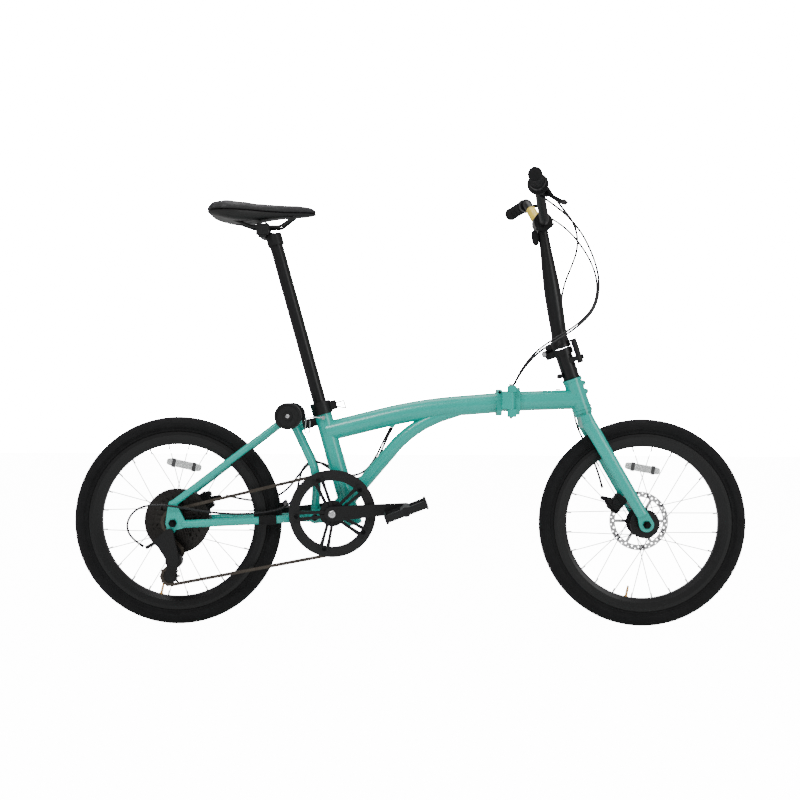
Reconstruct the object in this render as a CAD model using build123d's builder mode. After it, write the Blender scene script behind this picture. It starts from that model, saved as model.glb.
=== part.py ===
from build123d import *
import math
import os

# Folding bicycle with 20 inch wheels, in mm.
# +X is forwards, +Y is the rider's left, +Z is up.
# The origin is on the ground, halfway between the two wheel axles, in the middle plane.

# ---- driving dimensions ----
# wheels
wheelbase = 1088.0
tyre_radius = 243.0
tyre_section = 19.0
tyre_wall = 4.0
rim_seat = 208.0
rim_inner = 178.0
rim_half_width = 12.5
spoke_count = 24
spoke_radius = 1.0
flange_radius = 34.0
flange_thickness = 3.0
axle_radius = 5.0
rotor_radius = 70.0
rotor_thickness = 1.8

# fits
running_gap = 0.05
moving_gap = 0.3

# frame
bb_x = -180.0
bb_z = 265.5
bb_shell_radius = 20.0
bb_shell_half = 34.0
spindle_radius = 8.5
seat_angle = 15.8
seat_tube_radius = 20.5
seat_tube_length = 276.0
seat_tube_offset = 36.8
pivot_x = -222.0
pivot_z = 254.0
pivot_radius = 6.0
pivot_barrel_radius = 14.0
pivot_barrel_half = 25.5
seat_tube_below_bb = 42.0
main_tube_radius = 23.5
main_tube_wall = 2.0
strut_radius = 15.5
strut_wall = 1.8
hinge_x = 232.0
hinge_pin_y = -36.0
hinge_z = 526.0
hinge_pin_radius = 4.0
knuckle_radius = 9.0
front_tube_radius = 23.0

# steering
head_angle = 18.9
head_foot_x = 404.5
head_foot_z = 500.5
head_tube_length = 85.0
head_tube_radius = 22.0
steerer_radius = 14.3
stem_radius = 20.0
stem_joint_height = 158.0
stem_plate_radius = 24.4
stem_pin_offset = 36.0
stem_pin_turn = 145.0
stem_pin_radius = 3.5
fork_dropout_half = 50.0
dropout_thickness = 6.0

# handlebar
bar_radius = 11.1
bar_centre_radius = 12.7
bar_x = 306.0
bar_z = 945.0
grip_x = 284.0
grip_z = 1008.0
grip_end_x = 258.0
bar_half_width = 280.0
grip_radius = 15.5
grip_start = 32.0
shifter_length = 38.0
lever_pin_radius = 3.0

# saddle and post
post_radius = 15.9
post_length = 587.0
post_top = 703.0
rail_radius = 3.5
rail_half_gap = 22.0
rail_z = 930.5

# rear frame
rear_dropout_half = 67.5
stay_radius = 9.0
seatstay_radius = 8.0
roller_x = -283.0
roller_z = 489.0
roller_radius = 31.0
roller_width = 22.0
roller_inner_y = 50.0
roller_bolt_radius = 4.0
cross_tube_radius = 14.0

# drive
chain_y = -51.0
chain_pitch = 12.7
ring_teeth = 46
small_cog_teeth = 14
cog_teeth = (14, 16, 18, 20, 22, 28, 34)
cog_spacing = 4.8
pulley_teeth = 10
chain_half_height = 4.2
chain_inner_half = 1.75
chain_outer_half = 3.2
guard_radius = 100.5
crank_length = 170.0
crank_angle = 5.0
crank_thickness = 14.0
crank_inner_y = 61.0
guide_pulley = (-545.0, 173.0)
tension_pulley = (-553.0, 119.0)
cage_pivot = (-541.0, 158.0)
pedal_tilt = 21.0

# cables
cable_radius = 2.5

# ---- places worked out from them ----
front_x = wheelbase / 2
rear_x = -wheelbase / 2
axle_z = tyre_radius


def unit(x, z):
    """A direction in the middle plane."""
    return Vector(x, 0, z).normalized()


steer_up = unit(-math.sin(math.radians(head_angle)), math.cos(math.radians(head_angle)))
steer_fore = unit(math.cos(math.radians(head_angle)), math.sin(math.radians(head_angle)))
seat_up = unit(-math.sin(math.radians(seat_angle)), math.cos(math.radians(seat_angle)))
seat_fore = unit(math.cos(math.radians(seat_angle)), math.sin(math.radians(seat_angle)))
bb_axis_point = Vector(bb_x, 0, bb_z)
seat_foot = bb_axis_point + seat_fore * seat_tube_offset - seat_up * seat_tube_below_bb


def steer(height, fore=0.0, left=0.0):
    """A point by its height along the steering axis, and its distance in front and to the left."""
    return (
        Vector(head_foot_x, left, head_foot_z) + steer_up * height + steer_fore * fore
    )


def seat(height, fore=0.0, left=0.0):
    """A point by its height along the seat tube's axis, and its distance in front and to the left."""
    return seat_foot + seat_up * height + seat_fore * fore + Vector(0, left, 0)


def side(y):
    """The plane of a side view at y: its x is +X, its y is +Z and it faces -Y."""
    return Plane(origin=(0, y, 0), x_dir=(1, 0, 0), z_dir=(0, -1, 0))


def rod(a, b, radius, mode=Mode.ADD):
    """A round bar from point a to point b, in the piece being built."""
    start = Vector(a)
    run = Vector(b) - start
    with Locations(Plane(origin=start, z_dir=run)):
        Cylinder(
            radius,
            run.length,
            align=(Align.CENTER, Align.CENTER, Align.MIN),
            mode=mode,
        )


def cross_rod(x, z, radius, low_y, high_y, mode=Mode.ADD):
    """A round bar across the bicycle, from low_y to high_y."""
    rod((x, low_y, z), (x, high_y, z), radius, mode)


def block(low, high, mode=Mode.ADD):
    """A box between two corners."""
    size = Vector(high) - Vector(low)
    with Locations(Vector(low) + size * 0.5):
        Box(size.X, size.Y, size.Z, mode=mode)


def bent_tube(points, bends, radius, mode=Mode.ADD):
    """A round bar along straight runs joined by tangent arcs."""
    with BuildLine() as line:
        FilletPolyline(*points, radius=bends)
    with BuildSketch(Plane(line.line ^ 0)) as section:
        Circle(radius)
    sweep(section.sketch, path=line.line, mode=mode)


def cord_radii(points):
    """The largest tangent arcs for a cord: 0.45 of the shorter run over the tangent of half the turn."""
    corners = [Vector(p) for p in points]
    radii = []
    for before, here, after in zip(corners, corners[1:], corners[2:]):
        into, out = here - before, after - here
        turn = math.radians(into.get_angle(out))
        radii.append(0.45 * min(into.length, out.length) / math.tan(turn / 2))
    return radii


def pitch_radius(teeth):
    """Where the chain's pins run on a sprocket."""
    return chain_pitch / (2 * math.sin(math.pi / teeth))


def tooth_outline(teeth):
    """The corners of a sprocket: two at each root and two at each tip."""
    root = pitch_radius(teeth) - 3.9
    tip = pitch_radius(teeth) + 2.2
    step = 2 * math.pi / teeth
    corners = []
    for n in range(teeth):
        for share, radius in ((-0.32, root), (-0.08, tip), (0.08, tip), (0.32, root)):
            turn = step * (n + share)
            corners.append((radius * math.cos(turn), radius * math.sin(turn)))
    return corners


def sprocket(x, z, teeth, middle_y, thickness):
    """A toothed disc across the bicycle."""
    with BuildSketch(side(middle_y + thickness / 2)) as outline:
        with Locations((x, z)):
            Polygon(*tooth_outline(teeth), align=None)
    extrude(outline.sketch, amount=thickness)


def save(builder, name):
    """Label a finished piece and write it."""
    builder.part.label = name
    export_step(builder.part, f"parts/{name}.step")


os.makedirs("parts", exist_ok=True)


# ---- wheels ----
flange_left = {"front": 22.0, "rear": 30.0}
flange_right = {"front": -34.0, "rear": -17.0}
rotor_y = {"front": 37.0, "rear": 46.0}
hub_end_left = {"front": 49.7, "rear": 67.0}
hub_end_right = {"front": -49.7, "rear": -19.5}
hub_barrel = {"front": 14.0, "rear": 18.0}
axle_x = {"front": front_x, "rear": rear_x}
dropout_half = {"front": fork_dropout_half, "rear": rear_dropout_half}
tangent_turn = 48.0
spoke_lane = 1.6

for end in ("front", "rear"):
    centre = Vector(axle_x[end], 0, axle_z)
    profile_plane = Plane(origin=centre)
    turning_axis = Axis(centre, (0, 1, 0))

    with BuildPart() as tyre:
        with BuildSketch(profile_plane) as section:
            with Locations((tyre_radius - tyre_section, 0)):
                Circle(tyre_section)
            with Locations((tyre_radius - tyre_section, 0)):
                Circle(tyre_section - tyre_wall, mode=Mode.SUBTRACT)
            with Locations((rim_seat, 0)):
                Rectangle(
                    2 * tyre_section,
                    2 * tyre_section,
                    align=(Align.MAX, Align.CENTER),
                    mode=Mode.SUBTRACT,
                )
            with Locations((rim_seat, 0)):
                Rectangle(2 * tyre_wall, 2 * tyre_wall, mode=Mode.SUBTRACT)
        revolve(axis=turning_axis)
    save(tyre, f"{end}_tyre")

    with BuildPart() as rim:
        with BuildSketch(profile_plane) as section:
            with BuildLine():
                Polyline(
                    (rim_seat, -rim_half_width + 0.5),
                    (rim_seat, rim_half_width - 0.5),
                    (rim_seat - 8, rim_half_width),
                    (rim_seat - 20, rim_half_width - 2),
                    (rim_inner, rim_half_width / 2),
                    (rim_inner, -rim_half_width / 2),
                    (rim_seat - 20, -rim_half_width + 2),
                    (rim_seat - 8, -rim_half_width),
                    close=True,
                )
            make_face()
            with Locations((rim_seat, 0)):
                Rectangle(44, rim_half_width, mode=Mode.SUBTRACT)
        revolve(axis=turning_axis)
    save(rim, f"{end}_rim")

    with BuildPart() as hub:
        cross_rod(centre.X, centre.Z, hub_barrel[end], flange_right[end], flange_left[end])
        for flange_y in (flange_right[end], flange_left[end]):
            cross_rod(
                centre.X,
                centre.Z,
                flange_radius,
                flange_y - flange_thickness / 2,
                flange_y + flange_thickness / 2,
            )
        cross_rod(centre.X, centre.Z, 20, flange_left[end], rotor_y[end])
        cross_rod(centre.X, centre.Z, 11, rotor_y[end], hub_end_left[end])
        if end == "front":
            cross_rod(centre.X, centre.Z, 17, flange_right[end] - 8, flange_right[end])
        cross_rod(centre.X, centre.Z, 11, hub_end_right[end], flange_right[end])
        cross_rod(
            centre.X,
            centre.Z,
            axle_radius + running_gap,
            hub_end_right[end],
            hub_end_left[end],
            Mode.SUBTRACT,
        )
    save(hub, f"{end}_hub")

    with BuildPart() as spokes:
        for n in range(spoke_count):
            flange_y = flange_left[end] if n % 2 else flange_right[end]
            leads = 1 if n % 4 < 2 else -1
            rim_turn = math.radians(360 * n / spoke_count + 7.5)
            hub_turn = rim_turn + leads * math.radians(tangent_turn)
            lane = flange_y + leads * spoke_lane
            foot_r = flange_radius - 3.0
            foot = centre + Vector(
                foot_r * math.cos(hub_turn), lane, foot_r * math.sin(hub_turn)
            )
            tip_y = 2.5 if n % 2 else -2.5
            tip = centre + Vector(
                (rim_inner + 1) * math.cos(rim_turn), tip_y, (rim_inner + 1) * math.sin(rim_turn)
            )
            rod(foot, tip, spoke_radius)
    save(spokes, f"{end}_spokes")

    with BuildPart() as rotor:
        with BuildSketch(side(rotor_y[end] + rotor_thickness)):
            with Locations((centre.X, centre.Z)):
                Circle(rotor_radius)
                Circle(rotor_radius - 13, mode=Mode.SUBTRACT)
                Circle(22)
                with PolarLocations(39.5, 6):
                    Rectangle(38, 7)
                Circle(12, mode=Mode.SUBTRACT)
                with PolarLocations(rotor_radius - 8.5, 24):
                    Circle(2.2, mode=Mode.SUBTRACT)
                with PolarLocations(rotor_radius - 3.5, 24, start_angle=7.5):
                    Circle(1.6, mode=Mode.SUBTRACT)
        extrude(amount=rotor_thickness)
    save(rotor, f"{end}_rotor")

    nut_y = dropout_half[end] + dropout_thickness
    with BuildPart() as axle:
        cross_rod(centre.X, centre.Z, axle_radius, -nut_y - 14, nut_y + 14)
        for outwards in (-1, 1):
            with BuildSketch(side(outwards * nut_y)):
                with Locations((centre.X, centre.Z)):
                    RegularPolygon(9.5, 6)
            extrude(amount=-outwards * 7)
        if end == "rear":
            cross_rod(centre.X, centre.Z, 9, -dropout_half[end], -56)
    save(axle, f"{end}_axle")

    # disc caliper, with a slot for the rotor
    lean = 142.0 if end == "front" else 36.0
    out_dir = Vector(math.cos(math.radians(lean)), 0, math.sin(math.radians(lean)))
    caliper_low = rotor_y[end] - 13
    caliper_high = rotor_y[end] + 7
    with BuildPart() as caliper:
        with BuildSketch(side(caliper_high)):
            with Locations(Location((centre.X, centre.Z), lean)):
                with Locations((68, 0)):
                    RectangleRounded(30, 44, 6)
                with Locations((84, 10)):
                    Circle(8)
        extrude(amount=caliper_high - caliper_low)
        with BuildSketch(side(rotor_y[end] + rotor_thickness + 1)):
            with Locations((centre.X, centre.Z)):
                Circle(rotor_radius + 2)
        extrude(amount=rotor_thickness + 2, mode=Mode.SUBTRACT)
        pivot = centre + out_dir * 72
        cross_rod(pivot.X, pivot.Z, 9, caliper_low - 4, caliper_low)
        cross_rod(pivot.X, pivot.Z, 3, caliper_high, caliper_high + 9)
    save(caliper, f"{end}_caliper")

    with BuildPart() as arm:
        swing = lean + (20 if end == "front" else -20)
        arm_dir = Vector(math.cos(math.radians(swing)), 0, math.sin(math.radians(swing)))
        tip = pivot + arm_dir * 30
        with BuildSketch(side(caliper_high + 5.5)):
            with Locations((pivot.X, pivot.Z)):
                Circle(8)
            with Locations((tip.X, tip.Z)):
                Circle(5)
            make_hull()
        extrude(amount=5)
        cross_rod(
            pivot.X,
            pivot.Z,
            3 + running_gap,
            caliper_high - 1,
            caliper_high + 10,
            Mode.SUBTRACT,
        )
    save(arm, f"{end}_brake_arm")


# ---- rear half of the main frame ----
seat_tube_top = seat_tube_length
main_path = (
    seat(226.0) - Vector(2, 0, 0),
    Vector(20, 0, 507),
    Vector(hinge_x - 22, 0, 523),
)
main_bend = [1100.0]
strut_path = (
    seat(62.0) + Vector(8, 0, 0),
    Vector(6.4, 0, 471.1),
    Vector(112, 0, 506),
)
strut_bend = [270.0]

with BuildPart() as main_frame:
    bent_tube(main_path, main_bend, main_tube_radius)
    bent_tube(strut_path, strut_bend, strut_radius)
    bent_tube(main_path, main_bend, main_tube_radius - main_tube_wall, Mode.SUBTRACT)
    bent_tube(strut_path, strut_bend, strut_radius - strut_wall, Mode.SUBTRACT)
    rod(seat(0), seat(seat_tube_top), seat_tube_radius)
    cross_rod(bb_x, bb_z, bb_shell_radius, -bb_shell_half, bb_shell_half)
    for ear_y in (bb_shell_half, -pivot_barrel_half - moving_gap):
        with BuildSketch(side(ear_y)):
            with Locations((bb_x, bb_z)):
                Circle(bb_shell_radius)
            with Locations((pivot_x, pivot_z)):
                Circle(pivot_barrel_radius)
            make_hull()
        extrude(amount=bb_shell_half - pivot_barrel_half - moving_gap)
    with BuildSketch(side(17)):
        with Locations((bb_x + 6, bb_z + 8)):
            Circle(16)
        with Locations((seat(60).X, seat(60).Z)):
            Circle(18)
        with Locations((seat(14).X, seat(14).Z)):
            Circle(14)
        make_hull()
    extrude(amount=34)
    cross_rod(pivot_x, pivot_z, pivot_radius + 0.02, -bb_shell_half, bb_shell_half, Mode.SUBTRACT)
    with BuildSketch(Plane.YZ.offset(hinge_x - 32)):
        with Locations((0, hinge_z - 3)):
            RectangleRounded(60, 62, 14)
    extrude(amount=12)
    rod(
        (hinge_x - 21, 0, hinge_z),
        (hinge_x - moving_gap, 0, hinge_z),
        main_tube_radius + 0.5,
    )
    block(
        (hinge_x - 21, hinge_pin_y - knuckle_radius, hinge_z - 17.7),
        (hinge_x, -18, hinge_z + 20.7),
    )
    rod(
        (hinge_x, hinge_pin_y, hinge_z - 17.7),
        (hinge_x, hinge_pin_y, hinge_z + 20.7),
        knuckle_radius,
    )
    rod(
        (hinge_x, hinge_pin_y, hinge_z - 40),
        (hinge_x, hinge_pin_y, hinge_z + 40),
        hinge_pin_radius + running_gap,
        Mode.SUBTRACT,
    )
    block(
        (hinge_x - moving_gap, -30, hinge_z - 24),
        (hinge_x + 12, 30, hinge_z + 24),
        Mode.SUBTRACT,
    )
    rod(
        (hinge_x, hinge_pin_y, hinge_z - 17.7),
        (hinge_x, hinge_pin_y, hinge_z + 20.7),
        knuckle_radius,
    )
    rod(
        (hinge_x, hinge_pin_y, hinge_z - 40),
        (hinge_x, hinge_pin_y, hinge_z + 40),
        hinge_pin_radius + running_gap,
        Mode.SUBTRACT,
    )
    # keeper for the hinge lever, on the left
    block((hinge_x - 30, 26, hinge_z - 9), (hinge_x - 14, 38, hinge_z + 9))
    # cable port under the main tube
    rod((-45, 0, 476), (-47, 0, 464.5), 9)
    rod(seat(-1), seat(seat_tube_top + 1), post_radius + running_gap, Mode.SUBTRACT)
    cross_rod(
        bb_x,
        bb_z,
        spindle_radius + running_gap,
        -bb_shell_half,
        bb_shell_half,
        Mode.SUBTRACT,
    )
    cross_rod(bb_x, bb_z, bb_shell_radius - 4, -24, 24, Mode.SUBTRACT)
save(main_frame, "main_frame")

with BuildPart() as frame_pins:
    rod(
        (hinge_x, hinge_pin_y, hinge_z - 41),
        (hinge_x, hinge_pin_y, hinge_z + 37),
        hinge_pin_radius,
    )
    rod(
        (hinge_x, hinge_pin_y, hinge_z + 36.4),
        (hinge_x, hinge_pin_y, hinge_z + 39),
        hinge_pin_radius + 2,
    )
    cross_rod(pivot_x, pivot_z, pivot_radius, -bb_shell_half - 1, bb_shell_half + 1)
    for outwards in (-1, 1):
        head = (outwards * (bb_shell_half + 0.1), outwards * (bb_shell_half + 3))
        cross_rod(pivot_x, pivot_z, pivot_radius + 2, min(head), max(head))
save(frame_pins, "frame_pins")

collar_low = seat_tube_length - 8
collar_high = seat_tube_length + 22
with BuildPart() as seat_clamp:
    rod(seat(collar_low), seat(collar_high), seat_tube_radius + 4)
    with Locations(Plane(origin=seat(collar_low + 15, 27), x_dir=seat_fore, z_dir=seat_up)):
        Box(20, 18, 22)
    rod(seat(collar_low - 1), seat(seat_tube_top + moving_gap), seat_tube_radius + 0.02, Mode.SUBTRACT)
    rod(seat(collar_low - 1), seat(collar_high + 1), post_radius + 0.4, Mode.SUBTRACT)
    with Locations(Plane(origin=seat(collar_low + 15, 28), x_dir=seat_fore, z_dir=seat_up)):
        Box(26, 8.6, 34, mode=Mode.SUBTRACT)
    lever_pivot = seat(collar_low + 15, 32)
    cross_rod(lever_pivot.X, lever_pivot.Z, 2.5, -9, 9)
save(seat_clamp, "seat_clamp")

with BuildPart() as seat_clamp_lever:
    cross_rod(lever_pivot.X, lever_pivot.Z, 5, -4, 4)
    for height in (-1.0, 1.0):
        rod(
            lever_pivot + seat_up * 3.4 * height,
            lever_pivot + Vector(24, 0, 1) + seat_up * 9 * height,
            1.6,
        )
    rod(
        lever_pivot + Vector(24, 0, 1) - seat_up * 9.8,
        lever_pivot + Vector(24, 0, 1) + seat_up * 9.8,
        1.6,
    )
    cross_rod(lever_pivot.X, lever_pivot.Z, 2.5 + running_gap, -5, 5, Mode.SUBTRACT)
save(seat_clamp_lever, "seat_clamp_lever")


# ---- front half of the main frame ----
carrier_heights = (66.0, 45.5)
with BuildPart() as front_frame:
    rod((hinge_x + 14, 0, hinge_z), steer(33.0), front_tube_radius)
    rod(
        (hinge_x + 24, 0, hinge_z),
        steer(33.0) - Vector(14, 0, 0),
        front_tube_radius - main_tube_wall,
        Mode.SUBTRACT,
    )
    rod(steer(0), steer(head_tube_length), head_tube_radius)
    for ring_low in (0.0, 8.5, head_tube_length - 8):
        rod(steer(ring_low), steer(ring_low + 6), head_tube_radius + 1.5)
    with BuildSketch(Plane.YZ.offset(hinge_x + 9)):
        with Locations((0, hinge_z)):
            RectangleRounded(60, 64, 14)
    extrude(amount=13)
    rod(
        (hinge_x + moving_gap, 0, hinge_z),
        (hinge_x + 10, 0, hinge_z),
        main_tube_radius + 0.5,
    )
    for low, high in ((-37.0, -18.3), (21.3, 36.0)):
        block(
            (hinge_x, hinge_pin_y - knuckle_radius, hinge_z + low),
            (hinge_x + 12, -20, hinge_z + high),
        )
        rod(
            (hinge_x, hinge_pin_y, hinge_z + low),
            (hinge_x, hinge_pin_y, hinge_z + high),
            knuckle_radius,
        )
    rod(
        (hinge_x, hinge_pin_y, hinge_z - 50),
        (hinge_x, hinge_pin_y, hinge_z + 50),
        hinge_pin_radius + running_gap,
        Mode.SUBTRACT,
    )
    # ears that hold the hinge lever, on the left
    for low, high in ((-12.0, -7.3), (7.3, 12.0)):
        block(
            (hinge_x + 10, 20, hinge_z + low), (hinge_x + 26, 46, hinge_z + high)
        )
    rod((hinge_x + 18, 38, hinge_z - 12), (hinge_x + 18, 38, hinge_z + 12), 2.5)
    for height in carrier_heights:
        rod(steer(height, 18.5), steer(height, 25), 6.5)
    rod(steer(-1), steer(head_tube_length + 1), steerer_radius + running_gap, Mode.SUBTRACT)
    rod(steer(14), steer(head_tube_length - 14), 18, Mode.SUBTRACT)
    for height in carrier_heights:
        rod(steer(height, 10), steer(height, 26), 2.5, Mode.SUBTRACT)
save(front_frame, "front_frame")

with BuildPart() as hinge_lever:
    with BuildSketch(Plane.XY.offset(hinge_z - 7)):
        with Locations((hinge_x + 18, 38)):
            Circle(7)
        with BuildLine():
            Polyline(
                (hinge_x + 18, 32.5),
                (hinge_x + 34, 31),
                (hinge_x + 66, 28.5),
                (hinge_x + 104, 26.5),
                (hinge_x + 110, 30),
                (hinge_x + 104, 33.5),
                (hinge_x + 60, 37),
                (hinge_x + 18, 44.5),
                close=True,
            )
        make_face()
    extrude(amount=14)
    rod(
        (hinge_x + 18, 38, hinge_z - 8),
        (hinge_x + 18, 38, hinge_z + 8),
        2.5 + running_gap,
        Mode.SUBTRACT,
    )
save(hinge_lever, "hinge_lever")


# ---- fork and stem ----
crown_low = -32.0
crown_high = -5.0
blade_top_y = 37.0
blade_foot_y = 54.0

with BuildPart() as fork:
    with BuildSketch(Plane(origin=steer(crown_low), x_dir=steer_fore, z_dir=steer_up)):
        RectangleRounded(34, 94, 14)
    extrude(amount=crown_high - crown_low, taper=6)
    rod(steer(crown_high - 1), steer(-moving_gap), 21)
    for left in (-1, 1):
        top = Vector(411, left * blade_top_y, 479)
        foot = Vector(535, left * blade_foot_y, 264)
        run = foot - top
        with BuildSketch(Plane(origin=top, x_dir=(0, 1, 0), z_dir=run)):
            Ellipse(10, 16.5)
        with BuildSketch(Plane(origin=foot, x_dir=(0, 1, 0), z_dir=run)):
            Ellipse(7, 13)
        loft()
        plate_y = fork_dropout_half + (dropout_thickness if left > 0 else 0)
        with BuildSketch(side(left * plate_y if left > 0 else -fork_dropout_half)):
            with Locations((front_x, axle_z)):
                Circle(17)
            with Locations((535, 266)):
                Circle(12.5)
            make_hull()
        extrude(amount=dropout_thickness)
    with BuildSketch(side(49)):
        with Locations((505, 291)):
            Circle(6)
        with Locations((521, 290)):
            Circle(8)
        make_hull()
    extrude(amount=4.9)
    rod(steer(crown_low + 4), steer(stem_joint_height - 12), steerer_radius)
    cross_rod(
        front_x, axle_z, axle_radius + 0.02, -70, 70, Mode.SUBTRACT
    )
save(fork, "fork")

pin_out = steer_fore * math.cos(math.radians(stem_pin_turn)) + Vector(
    0, math.sin(math.radians(stem_pin_turn)), 0
)
pin_plane = Plane(origin=steer(stem_joint_height), x_dir=pin_out, z_dir=steer_up)


def stem_point(out, along, up):
    """A point by its distance towards the stem's pin, along the pin and above the joint."""
    return pin_plane.from_local_coords(Vector(out, along, up))


def stem_box(low, high, mode=Mode.ADD):
    """A box in the stem hinge's own directions."""
    size = Vector(high) - Vector(low)
    with Locations(
        Plane(
            origin=stem_point(*(Vector(low) + size * 0.5)),
            x_dir=pin_plane.x_dir,
            z_dir=pin_plane.z_dir,
        )
    ):
        Box(size.X, size.Y, size.Z, mode=mode)


stem_latch_out = -36.0
stem_latch_up = -32.0
with BuildPart() as stem_base:
    rod(steer(head_tube_length + moving_gap), steer(stem_joint_height - 8), stem_radius)
    rod(steer(stem_joint_height - 16), steer(stem_joint_height - moving_gap), stem_plate_radius)
    for low, high in ((-22.0, -10.3), (10.3, 22.0)):
        stem_box((12, low, -16), (stem_pin_offset, high, -moving_gap))
        rod(
            stem_point(stem_pin_offset, low, 0),
            stem_point(stem_pin_offset, high, 0),
            8,
        )
    for low, high in ((-13.0, -8.3), (8.3, 13.0)):
        stem_box((-42, low, stem_latch_up - 6), (-14, high, stem_latch_up + 6))
    rod(
        stem_point(stem_latch_out, -13, stem_latch_up),
        stem_point(stem_latch_out, 13, stem_latch_up),
        2.5,
    )
    bolt_spot = steer(98, -25)
    cross_rod(bolt_spot.X, bolt_spot.Z, 6, -13, 13)
    rod(
        stem_point(stem_pin_offset, -30, 0),
        stem_point(stem_pin_offset, 30, 0),
        stem_pin_radius + running_gap,
        Mode.SUBTRACT,
    )
    rod(
        steer(head_tube_length - 2),
        steer(stem_joint_height - 11.9),
        steerer_radius + 0.02,
        Mode.SUBTRACT,
    )
save(stem_base, "stem_base")

with BuildPart() as stem_hinge_pin:
    rod(
        stem_point(stem_pin_offset, -24, 0),
        stem_point(stem_pin_offset, 24, 0),
        stem_pin_radius,
    )
    for low, high in ((-25.5, -22.2), (22.2, 25.5)):
        rod(
            stem_point(stem_pin_offset, low, 0),
            stem_point(stem_pin_offset, high, 0),
            6,
        )
save(stem_hinge_pin, "stem_hinge_pin")

with BuildPart() as stem_latch:
    rod(
        stem_point(stem_latch_out, -8, stem_latch_up),
        stem_point(stem_latch_out, 8, stem_latch_up),
        5,
    )
    stem_box((-40, -8, stem_latch_up - 13), (-32, 8, 14))
    stem_box((-33, -6, 8.6), (-25.4, 6, 14))
    rod(
        stem_point(stem_latch_out, -9, stem_latch_up),
        stem_point(stem_latch_out, 9, stem_latch_up),
        2.5 + running_gap,
        Mode.SUBTRACT,
    )
save(stem_latch, "stem_latch")


# ---- handlepost and handlebar ----
post_foot = Vector(354.1, 0, 640)
post_head = Vector(308.5, 0, 921.5)
post_up = (post_head - post_foot).normalized()
post_span = (post_head - post_foot).length
post_plane = Plane(
    origin=post_foot, x_dir=Vector(0, 1, 0).cross(post_up), z_dir=(0, -1, 0)
)
clamp_out = unit(math.cos(math.radians(35)), math.sin(math.radians(35)))
clamp_radius = 22.0
clamp_half = 25.0
clamp_plane = Plane(origin=(bar_x, 0, bar_z), x_dir=(0, 1, 0), z_dir=clamp_out)

with BuildPart() as handlepost:
    with BuildSketch(post_plane):
        with BuildLine():
            Line((0, 0), (18.0, 0))
            Spline((18.0, 0), (18.5, 50), (19.5, 150), (17.5, 190), (14.5, 235), (12.5, post_span))
            Polyline((12.5, post_span), (0, post_span), (0, 0))
        make_face()
    revolve(axis=Axis(post_foot, post_up))
    rod(steer(stem_joint_height + moving_gap), steer(stem_joint_height + 8), stem_plate_radius)
    with BuildSketch(Plane(origin=steer(stem_joint_height + 8), z_dir=steer_up)):
        Circle(stem_plate_radius - 1)
    flare_top = post_foot + post_up * 42
    with BuildSketch(Plane(origin=flare_top, z_dir=post_up)):
        Circle(18.2)
    loft()
    stem_box((12, -10, moving_gap), (stem_pin_offset, 10, 16))
    rod(stem_point(stem_pin_offset, -10, 0), stem_point(stem_pin_offset, 10, 0), 8)
    rod(post_head - post_up * 2, Vector(bar_x, 0, bar_z), 12.5)
    cross_rod(bar_x, bar_z, clamp_radius, -clamp_half, clamp_half)
    with Locations(clamp_plane):
        Box(60, 60, 40, align=(Align.CENTER, Align.CENTER, Align.MIN), mode=Mode.SUBTRACT)
    stem_box((-60, -60, -60), (stem_pin_offset - 8.6, 60, moving_gap), Mode.SUBTRACT)
    cross_rod(bar_x, bar_z, bar_centre_radius + 0.02, -40, 40, Mode.SUBTRACT)
    rod(
        stem_point(stem_pin_offset, -30, 0),
        stem_point(stem_pin_offset, 30, 0),
        stem_pin_radius + running_gap,
        Mode.SUBTRACT,
    )
save(handlepost, "handlepost")

with BuildPart() as bar_clamp:
    cross_rod(bar_x, bar_z, clamp_radius, -clamp_half, clamp_half)
    with Locations(clamp_plane):
        Box(
            60,
            60,
            40.0 + moving_gap,
            align=(Align.CENTER, Align.CENTER, Align.MAX),
            mode=Mode.SUBTRACT,
        )
    with Locations(clamp_plane.offset(moving_gap)):
        Box(60, 60, moving_gap, align=(Align.CENTER, Align.CENTER, Align.MAX), mode=Mode.SUBTRACT)
        with Locations((17, 17.5), (-17, 17.5), (17, -17.5), (-17, -17.5)):
            Cylinder(3.2, 17, align=(Align.CENTER, Align.CENTER, Align.MIN))
    cross_rod(bar_x, bar_z, bar_centre_radius + 0.02, -40, 40, Mode.SUBTRACT)
save(bar_clamp, "bar_clamp")

corner_y = 120.0
bar_path = (
    (grip_end_x, -bar_half_width, grip_z),
    (grip_x, -corner_y, grip_z),
    (bar_x, -45, bar_z),
    (bar_x, 45, bar_z),
    (grip_x, corner_y, grip_z),
    (grip_end_x, bar_half_width, grip_z),
)
with BuildPart() as handlebar:
    bent_tube(bar_path, [30.0, 30.0, 30.0, 30.0], bar_radius)
    cross_rod(bar_x, bar_z, bar_centre_radius, -30, 30)
save(handlebar, "handlebar")


def on_bar(left, along, down=0.0, off=0.0):
    """A point of a grip's own frame: along the bar, down towards the lever, and off its plane."""
    outwards = Vector(grip_end_x - grip_x, left * (bar_half_width - corner_y), 0).normalized()
    reach = Vector(math.cos(math.radians(40)), 0, -math.sin(math.radians(40)))
    reach = (reach - outwards * reach.dot(outwards)).normalized()
    normal = outwards.cross(reach)
    start = Vector(grip_x, left * corner_y, grip_z)
    return start + outwards * along + reach * down + normal * off


def lever_plane(left, off):
    """The plane of a brake lever, starting where its mount sits on the bar."""
    origin = on_bar(left, 16, 0, off)
    return Plane(origin=origin, x_dir=on_bar(left, 17, 0, off) - origin, z_dir=on_bar(left, 16, 0, off + 1) - origin)


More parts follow.
